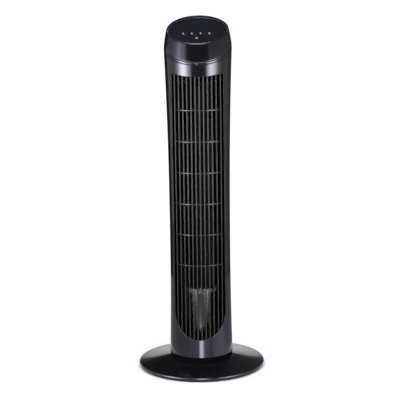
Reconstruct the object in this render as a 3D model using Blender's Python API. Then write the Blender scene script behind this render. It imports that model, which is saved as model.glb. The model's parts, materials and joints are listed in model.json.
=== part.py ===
"""Tower fan on a round base: two half shells round a tall cross-flow impeller, a slanted control cap.

Metres, +Z up. The origin is on the floor in the middle of the base. The air outlet faces -Y.
"""

import math

import bmesh
import bpy
from mathutils import Matrix, Vector

MM = 0.001
TAU = 2 * math.pi

# Gaps between pieces
FIT_GAP = 0.3 * MM
RUNNING_GAP = 0.5 * MM

# How far a cutter runs past what it cuts, and a joined piece into what it joins
CUT_PAST = 2 * MM
JOIN_DEPTH = 1 * MM

# Base
BASE_RADIUS = 135 * MM
BASE_RIM_HEIGHT = 7 * MM
BASE_RIM_ROUND = 2.5 * MM
BASE_WALL = 2.4 * MM
BASE_LIFT = 1.2 * MM
NECK_INSET = 4 * MM
NECK_HEIGHT = 25 * MM
NECK_STEP = 2.5 * MM
NECK_LAND = 3 * MM
DOME_POWER = 1.25
BASE_SEGMENTS = 40

FOOT_COUNT = 4
FOOT_RADIUS = 11 * MM
FOOT_HEIGHT = 3.2 * MM
FOOT_INSET = 31 * MM
FOOT_CHAMFER = 0.8 * MM
FOOT_TAPER = 1.2 * MM

PLATE_THICKNESS = 2.0 * MM
PLATE_MARGIN = 4.5 * MM
WEIGHT_CLEARANCE = 1.74 * MM
WEIGHT_INNER = 34 * MM
WEIGHT_THICKNESS = 5.0 * MM
BASE_SCREW_CIRCLE = 26 * MM
BASE_SCREW_COUNT = 4

# Turning joint between base and tower
POST_RADIUS = 10 * MM
POST_BORE = 6 * MM
POST_FLANGE = 20 * MM
POST_FLANGE_THICKNESS = 2.4 * MM
POST_END = 2 * MM
HUB_WALL = 4.5 * MM
HUB_HEIGHT = 17 * MM
NUT_HEIGHT = 3.0 * MM
NUT_WALL = 4.0 * MM
SWIVEL_GAP = 7.5 * MM
GLIDE_WIDTH = 4.5 * MM
GLIDE_INSET = 2 * MM
FLOOR_THICKNESS = 3.0 * MM

# Tower body, whose outline narrows to a waist and widens to the top
SKIRT_LIFT = 6 * MM
SKIRT_RADIUS = 67.2 * MM
SKIRT_FLARE = 0.7 * MM
SKIRT_FLARE_HEIGHT = 4 * MM
WAIST_Z = 260 * MM
WAIST_RADIUS = 63.9 * MM
WAIST_POWER_BELOW = 2.0
WAIST_POWER_ABOVE = 2.4
SEAM_Z = 679.3 * MM
SEAM_RADIUS = 70.7 * MM
SEAM_SLOPE = math.tan(math.radians(25))
SHELL_WALL = 2.2 * MM
SHELL_SPLIT = 0.3 * MM
SHELL_COLUMNS = 24
SHELL_ROWS = 12

# Air outlet in the front shell
OUTLET_FRAME = 10.7 * MM
OUTLET_BAND_BELOW = 38 * MM
OUTLET_BAND_ABOVE = 23 * MM
OUTLET_TOP_SLOPE = 0.30
OUTLET_CORNER = 4 * MM

# Front grille behind the outlet
BAR_COUNT = 12
BAR_EDGE_GAP = 6.45 * MM
BAR_WIDTH = 2.4 * MM
GRILLE_GAP = 1.3 * MM
RIB_COUNT = 6
RIB_PITCH = 65.3 * MM
RIB_HEIGHT = 2.2 * MM
BAR_DEPTH = 7 * MM
RIB_DEPTH = 4 * MM
TOP_RIB_DROP = 69 * MM
RAIL_WIDTH = 2.2 * MM
RAIL_GAP = 0.5 * MM
END_PLATE = 3 * MM
GRILLE_OVERLAP_TOP = 16 * MM
GRILLE_OVERLAP_BOTTOM = 8 * MM

# Air intake in the rear shell
SLOT_COLUMNS = 9
SLOT_PITCH = math.radians(11.5)
SLOT_SHARE = 0.56
SLOT_BANDS = 5
SLOT_BRIDGE = 7 * MM

# Impeller
IMPELLER_RADIUS = 35 * MM
BLADE_INNER = 25 * MM
BLADE_COUNT = 14
BLADE_WIDTH = math.radians(5)
BLADE_SKEW = math.radians(14)
SEGMENT_COUNT = 6
DISC_THICKNESS = 2.4 * MM
IMPELLER_BORE = 3.5 * MM
IMPELLER_GAP = 3.0 * MM
SHAFT_RADIUS = 3 * MM
SHAFT_END_LIFT = 6 * MM
HUB_GRIP = 11 * MM
IMPELLER_HUB_RADIUS = 8 * MM

# Motor
MOTOR_LIFT = 27.5 * MM
MOTOR_RADIUS = 29 * MM
MOTOR_WALL = 2.0 * MM
MOTOR_COVER_HEIGHT = 102 * MM
MOUNT_RING_RADIUS = 35 * MM
MOUNT_RING_HEIGHT = 10 * MM
MOUNT_RING_TEETH = 16
MOUNT_RING_TOOTH = 1.8 * MM
MOUNT_TOOTH_SHARE = 0.55
MOUNT_RING_WALL = 2 * MM
STATOR_FIT = 1 * MM
STATOR_BORE = 13 * MM
STATOR_HEIGHT = 40 * MM
STATOR_LIFT = 24 * MM
ROTOR_GAP = 0.7 * MM
ROTOR_OVERHANG = 2 * MM
BUSH_WALL = 3.0 * MM
BUSH_HEIGHT = 9 * MM
BUSH_RECESS = 1 * MM
MOTOR_LEG_COUNT = 3
MOTOR_LEG_RADIUS = 2.6 * MM
MOTOR_RIB_COUNT = 12
MOTOR_RIB_WIDTH = 2.0 * MM
MOTOR_RIB_HEIGHT = 1.6 * MM
MOTOR_RIB_STOP = 4 * MM

# Upper bulkhead and air guides
BULKHEAD_THICKNESS = 2.5 * MM
BULKHEAD_DROP = 12 * MM
BULKHEAD_GAP = 0.7 * MM
COLLAR_WALL = 2.5 * MM
GUIDE_THICKNESS = 1.6 * MM
GUIDE_CLEARANCE = 3.5 * MM
GUIDE_MARGIN = 10 * MM
GUIDE_END_GAP = 1.0 * MM
GUIDE_POWER = 1.5
SCROLL_ANGLES = (math.radians(62), math.radians(-34))
TONGUE_ANGLES = (math.radians(182), math.radians(214))

# Slanted cap, trim ring and control panel. Heights are those on the tower's axis.
TRIM_GAP = 1.1 * MM
TRIM_HEIGHT = 4.3 * MM
TRIM_STEP = 0.4 * MM
TRIM_WIDTH = 5 * MM
CAP_HEIGHT = 31 * MM
CAP_STEP = 0.5 * MM
CAP_TAPER = 5.3 * MM
CAP_BULGE = 0.5 * MM
CAP_WALL = 2.2 * MM
RIM_SLOPE = math.tan(math.radians(22.8))
RIM_ROUND = 0.9 * MM
LIP_WIDTH = 2.6 * MM
LIP_CHAMFER = 0.3 * MM
PANEL_SLOPE = math.tan(math.radians(21.5))
PANEL_DROP = 2.8 * MM
PANEL_THICKNESS = 2.6 * MM
PANEL_LEDGE = 4 * MM
LEDGE_THICKNESS = 2 * MM
LEDGE_ROOT = 3 * MM
LINE_WIDTH = 1.1 * MM
LINE_HEIGHT = 0.5 * MM
CAP_SEGMENTS = 40
IR_WIDTH = 4.8 * MM
IR_HEIGHT = 2.6 * MM
IR_DEPTH = 3.0 * MM
IR_PROUD = 0.2 * MM

# Buttons and board, in the panel's own slanted frame
BUTTON_COUNT = 4
BUTTON_PITCH = 18 * MM
BUTTON_RADIUS = 4.3 * MM
BUTTON_PROUD = 0.9 * MM
BUTTON_TRAVEL = 1.0 * MM
BUTTON_ROW = -16 * MM
BUTTON_DISH = 0.25 * MM
BUTTON_RIM = 0.8 * MM
BUTTON_EDGE = 0.5 * MM
BUTTON_FLANGE = 1.0 * MM
BUTTON_FLANGE_STEP = 1.2 * MM
STEM_RADIUS = 1.6 * MM
LENS_ROW = -37.5 * MM
LENS_RADIUS = 3.2 * MM
LENS_PROUD = 0.6 * MM
BOARD_DROP = 12 * MM
BOARD_WIDTH = 84 * MM
BOARD_LENGTH = 56 * MM
BOARD_THICKNESS = 1.6 * MM
SWITCH_SIZE = 6 * MM
SWITCH_HEIGHT = 4 * MM
BOARD_POST_RADIUS = 2.5 * MM
BOARD_POST_INSET = 5 * MM

# Swing drive under the motor
SWING_MOTOR_RADIUS = 20 * MM
SWING_MOTOR_HEIGHT = 15 * MM
SWING_AXIS_Y = 38.5 * MM
SWING_SHAFT_LENGTH = 6 * MM
SWING_SOCKET_DEPTH = 8 * MM
CRANK_RADIUS = 9 * MM
CRANK_THICKNESS = 2.2 * MM
CRANK_THROW = 6 * MM
CRANK_PIN_RADIUS = 1.8 * MM
CRANK_SHAFT_RADIUS = 2.5 * MM
ARM_THICKNESS = 1.4 * MM
ARM_WIDTH = 12 * MM
ARM_SLOT_WIDTH = 4.4 * MM
ARM_CLEARANCE = 2 * MM
PIN_CLEARANCE = 0.6 * MM

# Electrical parts and fasteners
CAPACITOR_SIZE = (22 * MM, 12 * MM, 17 * MM)
CAPACITOR_PLACE = (-34 * MM, -24 * MM)
TERMINAL_SIZE = (18 * MM, 11 * MM, 9 * MM)
TERMINAL_PLACE = (34 * MM, -24 * MM)
GLAND_LIFT = 19 * MM
GLAND_RADIUS = 5 * MM
GLAND_BORE = 2.6 * MM
GLAND_LENGTH = 9 * MM
GLAND_FLANGE = 2.0 * MM
GLAND_FLANGE_STEP = 1.5 * MM
LOOM_RADIUS = 2.2 * MM
LOOM_WALL_GAP = 2 * MM
LOOM_START = (-24 * MM, 8 * MM)
LOOM_BOARD_DROP = 9 * MM
LOOM_BEND = 12 * MM
LOOM_END_LIFT = 12 * MM
LOOM_ANGLE = math.radians(132)
SCREW_HEAD_RADIUS = 3.6 * MM
SCREW_HEAD_HEIGHT = 1.8 * MM
SCREW_SHANK_RADIUS = 1.5 * MM
SCREW_LENGTH = 9 * MM
SCREW_SUNK = 0.4 * MM
SCREW_CROWN = 0.3 * MM
SHELL_SCREW_ANGLE = math.radians(28)
SHELL_SCREW_INSET = 42 * MM
SHELL_SCREW_RISE = 16 * MM

# Levels and sizes that several pieces share
NECK_RADIUS = SKIRT_RADIUS - SHELL_WALL - NECK_INSET
SKIRT_Z = NECK_HEIGHT + SKIRT_LIFT
FLOOR_Z = NECK_HEIGHT + SWIVEL_GAP
GLAND_Z = SKIRT_Z + GLAND_LIFT
MOTOR_FLOOR_Z = FLOOR_Z + MOTOR_LIFT
MOTOR_TOP_Z = MOTOR_FLOOR_Z + MOTOR_COVER_HEIGHT
RING_TOP_Z = MOTOR_TOP_Z + FIT_GAP + MOUNT_RING_HEIGHT
TRIM_RADIUS = SEAM_RADIUS - TRIM_STEP
CAP_RADIUS = SEAM_RADIUS - CAP_STEP
RIM_RADIUS = CAP_RADIUS - CAP_TAPER
CAP_LOW_Z = SEAM_Z + 2 * TRIM_GAP + TRIM_HEIGHT
RIM_Z = CAP_LOW_Z + CAP_HEIGHT
PANEL_Z = RIM_Z - PANEL_DROP
OUTLET_HALF_WIDTH = WAIST_RADIUS - OUTLET_FRAME
SEAM_FRONT_Z = SEAM_Z - SEAM_SLOPE * SEAM_RADIUS
OUTLET_TOP_Z = SEAM_FRONT_Z - OUTLET_BAND_ABOVE
OUTLET_BOTTOM_Z = SKIRT_Z + OUTLET_BAND_BELOW
GRILLE_TOP_Z = OUTLET_TOP_Z + GRILLE_OVERLAP_TOP
GRILLE_BOTTOM_Z = OUTLET_BOTTOM_Z - GRILLE_OVERLAP_BOTTOM
BAR_PITCH = 2 * (OUTLET_HALF_WIDTH - BAR_EDGE_GAP) / (BAR_COUNT - 1)
BAR_SETBACK = SHELL_WALL + GRILLE_GAP
GRILLE_DEPTH = BAR_DEPTH + RIB_DEPTH
LOOM_CIRCLE = WAIST_RADIUS - SHELL_WALL - LOOM_RADIUS - LOOM_WALL_GAP
BULKHEAD_Z = OUTLET_TOP_Z - BULKHEAD_DROP
IMPELLER_BOTTOM_Z = RING_TOP_Z + IMPELLER_GAP
IMPELLER_TOP_Z = BULKHEAD_Z - IMPELLER_GAP
LIP_INNER_RADIUS = RIM_RADIUS - LIP_WIDTH
PANEL_RADIUS = LIP_INNER_RADIUS - FIT_GAP
PANEL_ANGLE = math.atan(PANEL_SLOPE)


def clear_scene():
    for obj in list(bpy.data.objects):
        bpy.data.objects.remove(obj, do_unlink=True)


def make_material(name, colour, roughness, metallic=0.0):
    """A Principled BSDF material of one colour."""
    mat = bpy.data.materials.new(name)
    mat.use_nodes = True
    shader = mat.node_tree.nodes["Principled BSDF"]
    shader.inputs["Base Color"].default_value = (*colour, 1.0)
    shader.inputs["Roughness"].default_value = roughness
    shader.inputs["Metallic"].default_value = metallic
    mat.diffuse_color = (*colour, 1.0)
    return mat


def make_carrier(name, location, parent=None, tilt=0.0):
    """An empty on a joint's axis, which carries the pieces that move with it."""
    carrier = bpy.data.objects.new(name, None)
    bpy.context.collection.objects.link(carrier)
    carrier.empty_display_size = 20 * MM
    carrier.parent = parent
    carrier.location = Vector(location) - (world_place(parent) if parent else Vector())
    carrier.rotation_euler = (tilt, 0, 0)
    return carrier


def world_place(obj):
    """Where an upright carrier stands in the world."""
    place = obj.location.copy()
    while obj.parent:
        obj = obj.parent
        place += obj.location
    return place


def add_piece(name, bm, mat, carrier, local=False):
    """Turns a mesh in world coordinates into a named object on its carrier."""
    if bm.calc_volume(signed=True) < 0:
        bmesh.ops.reverse_faces(bm, faces=bm.faces)
    if not local:
        bm.transform(Matrix.Translation(-world_place(carrier)))
    mesh = bpy.data.meshes.new(name)
    bm.to_mesh(mesh)
    bm.free()
    mesh.materials.append(mat)
    mesh.shade_smooth()
    mesh.set_sharp_from_angle(angle=math.radians(32))
    obj = bpy.data.objects.new(name, mesh)
    bpy.context.collection.objects.link(obj)
    obj.parent = carrier
    return obj


def add_boolean(obj, helper, operation):
    """Cuts or joins a helper solid, which stays hidden."""
    helper.name = f"{obj.name}_{operation.lower()}_{len(obj.modifiers) + 1}"
    helper.hide_render = True
    helper.display_type = "WIRE"
    modifier = obj.modifiers.new(helper.name, "BOOLEAN")
    modifier.operation = operation
    modifier.object = helper
    modifier.solver = "EXACT"


def turned(profile, segments):
    """A solid turned round Z from a closed outline.

    An outline point is (radius, height) or (radius, height, slope): with a slope, the height on the
    axis is given and the point rises by the slope for each metre towards the back.
    """
    bm = bmesh.new()
    columns = []
    poles = [bm.verts.new((0, 0, point[1])) if point[0] == 0 else None for point in profile]
    for step in range(segments):
        angle = TAU * step / segments
        column = []
        for point, pole in zip(profile, poles):
            radius, height = point[0], point[1]
            slope = point[2] if len(point) > 2 else 0
            x, y = radius * math.cos(angle), radius * math.sin(angle)
            column.append(pole or bm.verts.new((x, y, height + slope * y)))
        columns.append(column)
    for step in range(segments):
        here, there = columns[step], columns[(step + 1) % segments]
        for low in range(len(profile)):
            high = (low + 1) % len(profile)
            corners = [here[low], there[low], there[high], here[high]]
            unique = list(dict.fromkeys(corners))
            if len(unique) > 2:
                bm.faces.new(unique)
    return bm


def cylinder(radius, low, high, segments, centre=(0, 0)):
    bm = turned([(radius, high), (radius, low), (0, low), (0, high)], segments)
    bm.transform(Matrix.Translation((centre[0], centre[1], 0)))
    return bm


def tube(outer, bore, low, high, segments, centre=(0, 0)):
    bm = turned([(outer, high), (outer, low), (bore, low), (bore, high)], segments)
    bm.transform(Matrix.Translation((centre[0], centre[1], 0)))
    return bm


def block(size, centre):
    bm = bmesh.new()
    bmesh.ops.create_cube(bm, size=1.0)
    bmesh.ops.scale(bm, vec=size, verts=bm.verts)
    bmesh.ops.translate(bm, vec=centre, verts=bm.verts)
    return bm


def prism(outline, low, high):
    """An outline in X and Y, extruded along Z."""
    bm = bmesh.new()
    bottom = [bm.verts.new((x, y, low)) for x, y in outline]
    face = bm.faces.new(bottom)
    extruded = bmesh.ops.extrude_face_region(bm, geom=[face])
    raised = [item for item in extruded["geom"] if isinstance(item, bmesh.types.BMVert)]
    bmesh.ops.translate(bm, vec=(0, 0, high - low), verts=raised)
    bmesh.ops.recalc_face_normals(bm, faces=bm.faces)
    return bm


CELL_SIDES = (
    ((-1, 0, 0), ((0, 0, 0), (0, 0, 1), (0, 1, 1), (0, 1, 0))),
    ((1, 0, 0), ((1, 0, 0), (1, 1, 0), (1, 1, 1), (1, 0, 1))),
    ((0, -1, 0), ((0, 0, 0), (1, 0, 0), (1, 0, 1), (0, 0, 1))),
    ((0, 1, 0), ((0, 1, 0), (0, 1, 1), (1, 1, 1), (1, 1, 0))),
    ((0, 0, -1), ((0, 0, 0), (0, 1, 0), (1, 1, 0), (1, 0, 0))),
    ((0, 0, 1), ((0, 0, 1), (1, 0, 1), (1, 1, 1), (0, 1, 1))),
)


def lattice(columns, rows, layers, filled, place, closed=False):
    """One solid made of the filled cells of a grid, whose corners lie where place(i, j, k) says.

    A closed lattice runs right round, so that its last column meets its first.
    """
    bm = bmesh.new()
    corners = {}

    def solid(i, j, k):
        if closed:
            i %= columns
        inside = 0 <= i < columns and 0 <= j < rows and 0 <= k < layers
        return inside and filled(i, j, k)

    def corner(i, j, k):
        if closed:
            i %= columns
        key = (i, j, k)
        if key not in corners:
            corners[key] = bm.verts.new(place(i, j, k))
        return corners[key]

    for i in range(columns):
        for j in range(rows):
            for k in range(layers):
                if not solid(i, j, k):
                    continue
                for (di, dj, dk), side in CELL_SIDES:
                    if not solid(i + di, j + dj, k + dk):
                        bm.faces.new([corner(i + a, j + b, k + c) for a, b, c in side])
    return bm


def body_radius(z):
    """The tower's outer radius at a height."""
    if z < WAIST_Z:
        share = (WAIST_Z - z) / (WAIST_Z - SKIRT_Z)
        return WAIST_RADIUS + (SKIRT_RADIUS - WAIST_RADIUS) * share**WAIST_POWER_BELOW
    share = min((z - WAIST_Z) / (SEAM_Z - WAIST_Z), 1.0)
    return WAIST_RADIUS + (SEAM_RADIUS - WAIST_RADIUS) * share**WAIST_POWER_ABOVE


def seam_height(angle):
    """The height of the tower's slanted top edge in a direction."""
    z = SEAM_Z
    for _ in range(6):
        z = SEAM_Z + SEAM_SLOPE * body_radius(z) * math.sin(angle)
    return z


def flare(z):
    """How far the skirt's lip stands out at a height."""
    rise = max(0.0, 1 - (z - SKIRT_Z) / SKIRT_FLARE_HEIGHT)
    return SKIRT_FLARE * rise**2


def wall_corner(angle, z, inner):
    radius = body_radius(z) + (0 if inner else flare(z)) - (SHELL_WALL if inner else 0)
    return (radius * math.cos(angle), radius * math.sin(angle), z)


def make_base(root, mats):
    neck_edge = NECK_RADIUS + NECK_LAND
    rim_top = BASE_LIFT + BASE_RIM_HEIGHT
    dome_start = BASE_RADIUS - BASE_RIM_ROUND
    dome_edge_z = rim_top + 0.35 * BASE_RIM_ROUND
    shoulder_z = NECK_HEIGHT - NECK_STEP
    outline = [
        (BASE_RADIUS - BASE_WALL / 2, BASE_LIFT),
        (BASE_RADIUS - BASE_WALL, BASE_LIFT),
        (BASE_RADIUS - BASE_WALL, rim_top - 0.3 * BASE_WALL),
    ]
    dome_steps = 4
    for step in range(1, dome_steps + 1):
        share = step / dome_steps
        radius = BASE_RADIUS - BASE_WALL + (neck_edge - BASE_RADIUS) * share
        z = dome_height(share, dome_edge_z, shoulder_z) - BASE_WALL
        outline.append((radius, z))
    outline += [
        (NECK_RADIUS - BASE_WALL, NECK_HEIGHT - BASE_WALL),
        (POST_RADIUS + RUNNING_GAP, NECK_HEIGHT - BASE_WALL),
        (POST_RADIUS + RUNNING_GAP, NECK_HEIGHT),
        (NECK_RADIUS, NECK_HEIGHT),
        (NECK_RADIUS, shoulder_z + 0.12 * NECK_STEP),
    ]
    for step in range(dome_steps, 0, -1):
        share = step / dome_steps
        radius = dome_start + (neck_edge - dome_start) * share
        outline.append((radius, dome_height(share, dome_edge_z, shoulder_z)))
    outline += [(dome_start, dome_edge_z), (BASE_RADIUS, rim_top - BASE_RIM_ROUND)]
    add_piece("base_shell", turned(outline, BASE_SEGMENTS), mats["gloss"], root)

    plate_top = FOOT_HEIGHT + FIT_GAP + PLATE_THICKNESS
    plate_radius = BASE_RADIUS - PLATE_MARGIN
    plate = tube(plate_radius, BASE_SCREW_CIRCLE * 0.5, plate_top - PLATE_THICKNESS, plate_top, BASE_SEGMENTS)
    add_piece("base_plate", plate, mats["matt"], root)

    weight_low = plate_top + FIT_GAP
    weight_high = weight_low + WEIGHT_THICKNESS
    rise = weight_high + WEIGHT_CLEARANCE + BASE_WALL - dome_edge_z
    share = (rise / (shoulder_z - dome_edge_z)) ** (1 / DOME_POWER)
    weight_outer = BASE_RADIUS - BASE_WALL + (neck_edge - BASE_RADIUS) * share
    weight = tube(weight_outer, WEIGHT_INNER, weight_low, weight_high, BASE_SEGMENTS)
    add_piece("base_weight", weight, mats["steel"], root)

    foot_circle = BASE_RADIUS - FOOT_INSET
    for index in range(FOOT_COUNT):
        angle = TAU * (index + 0.5) / FOOT_COUNT
        centre = (foot_circle * math.cos(angle), foot_circle * math.sin(angle))
        outline = [
            (0, FOOT_HEIGHT),
            (FOOT_RADIUS - FOOT_CHAMFER, FOOT_HEIGHT),
            (FOOT_RADIUS, FOOT_HEIGHT - FOOT_CHAMFER),
            (FOOT_RADIUS - FOOT_TAPER, 0),
            (0, 0),
        ]
        foot = turned(outline, 24)
        foot.transform(Matrix.Translation((*centre, 0)))
        add_piece(f"foot_{index + 1}", foot, mats["rubber"], root)

    screw_top = NECK_HEIGHT - BASE_WALL - FIT_GAP
    for index in range(BASE_SCREW_COUNT):
        angle = TAU * index / BASE_SCREW_COUNT
        centre = Vector((BASE_SCREW_CIRCLE * math.cos(angle), BASE_SCREW_CIRCLE * math.sin(angle), 0))
        head_low = plate_top + FIT_GAP
        outline = [
            (0, screw_top),
            (SCREW_SHANK_RADIUS, screw_top),
            (SCREW_SHANK_RADIUS, head_low + SCREW_HEAD_HEIGHT),
            (SCREW_HEAD_RADIUS, head_low + SCREW_HEAD_HEIGHT),
            (SCREW_HEAD_RADIUS, head_low),
            (0, head_low),
        ]
        screw = turned(outline, 12)
        screw.transform(Matrix.Translation(centre))
        add_piece(f"base_screw_{index + 1}", screw, mats["steel"], root)


def dome_height(share, edge_z, shoulder_z):
    """The base's top surface: flat at the rim, steeper towards the neck."""
    return edge_z + (shoulder_z - edge_z) * share**DOME_POWER


def make_swivel(root, tower, mats):
    """The fixed post, its nut and the glide ring, and the tower's floor, which turns on the post."""
    flange_low = NECK_HEIGHT + FIT_GAP
    flange_high = flange_low + POST_FLANGE_THICKNESS
    hub_top = FLOOR_Z + HUB_HEIGHT
    nut_low = hub_top + RUNNING_GAP
    post_top = nut_low + NUT_HEIGHT + POST_END
    outline = [
        (POST_RADIUS, post_top),
        (POST_RADIUS, flange_high),
        (POST_FLANGE, flange_high),
        (POST_FLANGE, flange_low),
        (POST_BORE, flange_low),
        (POST_BORE, post_top),
    ]
    add_piece("pivot_post", turned(outline, 24), mats["steel"], root)
    nut = tube(POST_RADIUS + NUT_WALL, POST_RADIUS + FIT_GAP, nut_low, nut_low + NUT_HEIGHT, 24)
    add_piece("pivot_nut", nut, mats["steel"], root)

    glide_outer = NECK_RADIUS - GLIDE_INSET
    glide = tube(glide_outer, glide_outer - GLIDE_WIDTH, NECK_HEIGHT + FIT_GAP, FLOOR_Z - FIT_GAP, 32)
    add_piece("glide_ring", glide, mats["nylon"], root)

    arm_low = NECK_HEIGHT + FIT_GAP
    arm_high = arm_low + ARM_THICKNESS
    arm_start = POST_FLANGE + FIT_GAP
    arm_end = glide_outer - GLIDE_WIDTH - ARM_CLEARANCE
    slot_start = SWING_AXIS_Y - CRANK_THROW - CRANK_PIN_RADIUS - ARM_CLEARANCE
    half, slot = ARM_WIDTH / 2, ARM_SLOT_WIDTH / 2
    outline = [
        (-half, arm_start),
        (half, arm_start),
        (half, arm_end),
        (slot, arm_end),
        (slot, slot_start),
        (-slot, slot_start),
        (-slot, arm_end),
        (-half, arm_end),
    ]
    add_piece("drive_arm", prism(outline, arm_low, arm_high), mats["steel"], root)

    hub_inner = POST_RADIUS + FIT_GAP
    floor_top = FLOOR_Z + FLOOR_THICKNESS
    floor_radius = body_radius(floor_top) - SHELL_WALL - FIT_GAP
    outline = [
        (floor_radius, floor_top),
        (floor_radius, FLOOR_Z),
        (hub_inner, FLOOR_Z),
        (hub_inner, hub_top),
        (hub_inner + HUB_WALL, hub_top),
        (hub_inner + HUB_WALL, floor_top),
    ]
    floor = add_piece("tower_floor", turned(outline, 30), mats["matt"], tower)
    bore = CRANK_SHAFT_RADIUS + RUNNING_GAP
    hole = cylinder(bore, FLOOR_Z - CUT_PAST, floor_top + CUT_PAST, 16, (0, SWING_AXIS_Y))
    add_boolean(floor, add_piece("hole", hole, mats["matt"], tower), "DIFFERENCE")
    leg_circle = MOTOR_RADIUS - MOTOR_WALL / 2
    for index in range(MOTOR_LEG_COUNT):
        angle = TAU * index / MOTOR_LEG_COUNT - math.pi / 2
        centre = (leg_circle * math.cos(angle), leg_circle * math.sin(angle))
        leg = cylinder(MOTOR_LEG_RADIUS, floor_top - JOIN_DEPTH, MOTOR_FLOOR_Z - FIT_GAP, 10, centre)
        add_boolean(floor, add_piece("leg", leg, mats["matt"], tower), "UNION")


def make_swing_drive(tower, crank, mats):
    motor_low = FLOOR_Z + FLOOR_THICKNESS + FIT_GAP
    motor = cylinder(SWING_MOTOR_RADIUS, motor_low, motor_low + SWING_MOTOR_HEIGHT, 28, (0, SWING_AXIS_Y))
    body = add_piece("swing_motor", motor, mats["steel"], tower)
    bore = CRANK_SHAFT_RADIUS + RUNNING_GAP
    socket_top = motor_low + SWING_SOCKET_DEPTH
    socket = cylinder(bore, motor_low - CUT_PAST, socket_top, 16, (0, SWING_AXIS_Y))
    add_boolean(body, add_piece("socket", socket, mats["steel"], tower), "DIFFERENCE")

    arm_high = NECK_HEIGHT + FIT_GAP + ARM_THICKNESS
    pin_low = arm_high + PIN_CLEARANCE
    crank_high = FLOOR_Z - RUNNING_GAP
    crank_low = crank_high - CRANK_THICKNESS
    outline = [
        (0, motor_low + SWING_SHAFT_LENGTH),
        (CRANK_SHAFT_RADIUS, motor_low + SWING_SHAFT_LENGTH),
        (CRANK_SHAFT_RADIUS, crank_high),
        (CRANK_RADIUS, crank_high),
        (CRANK_RADIUS, crank_low),
        (0, crank_low),
    ]
    disc = turned(outline, 24)
    disc.transform(Matrix.Translation((0, SWING_AXIS_Y, 0)))
    wheel = add_piece("swing_crank", disc, mats["nylon"], crank)
    pin_place = (0, SWING_AXIS_Y + CRANK_THROW)
    pin = cylinder(CRANK_PIN_RADIUS, pin_low, crank_low + JOIN_DEPTH, 16, pin_place)
    add_boolean(wheel, add_piece("pin", pin, mats["nylon"], crank), "UNION")


def half_shell(start, rows_at):
    """Half of the tower's wall, from one side split to the other. rows_at(angle) gives its heights."""
    split = SHELL_SPLIT / 2 / WAIST_RADIUS
    angles = [start + split + (math.pi - 2 * split) * i / SHELL_COLUMNS for i in range(SHELL_COLUMNS + 1)]
    heights = [rows_at(angle) for angle in angles]
    return lattice(
        SHELL_COLUMNS,
        len(heights[0]) - 1,
        1,
        lambda i, j, k: True,
        lambda i, j, k: wall_corner(angles[i], heights[i][j], k == 0),
    )


def lip_rows():
    """Heights of the skirt's flared lip."""
    return [SKIRT_Z, SKIRT_Z + SKIRT_FLARE_HEIGHT / 2, SKIRT_Z + SKIRT_FLARE_HEIGHT]


def outlet_top(x):
    """The height of the outlet's upper edge, which rises towards the sides."""
    return OUTLET_TOP_Z + OUTLET_TOP_SLOPE * (SEAM_RADIUS - math.sqrt(SEAM_RADIUS**2 - x**2))


def outlet_outline():
    """The outlet seen from the front: a half circle below, straight sides, rounded upper corners."""
    half = OUTLET_HALF_WIDTH
    arc_z = OUTLET_BOTTOM_Z + half
    points = []
    for step in range(25):
        angle = math.pi + math.pi * step / 24
        points.append((half * math.cos(angle), arc_z + half * math.sin(angle)))
    near = half - OUTLET_CORNER
    tilt = math.atan(OUTLET_TOP_SLOPE * near / math.sqrt(SEAM_RADIUS**2 - near**2))
    meet = half - OUTLET_CORNER * (1 + math.sin(tilt))
    centre = (half - OUTLET_CORNER, outlet_top(meet) - OUTLET_CORNER * math.cos(tilt))
    corner = []
    for step in range(5):
        angle = (math.pi / 2 + tilt) * step / 4
        x, z = centre[0] + OUTLET_CORNER * math.cos(angle), centre[1] + OUTLET_CORNER * math.sin(angle)
        corner.append((x, z))
    points += corner
    for step in range(1, 14):
        x = meet - 2 * meet * step / 14
        points.append((x, outlet_top(x)))
    points += [(-x, z) for x, z in reversed(corner)]
    return points


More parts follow.
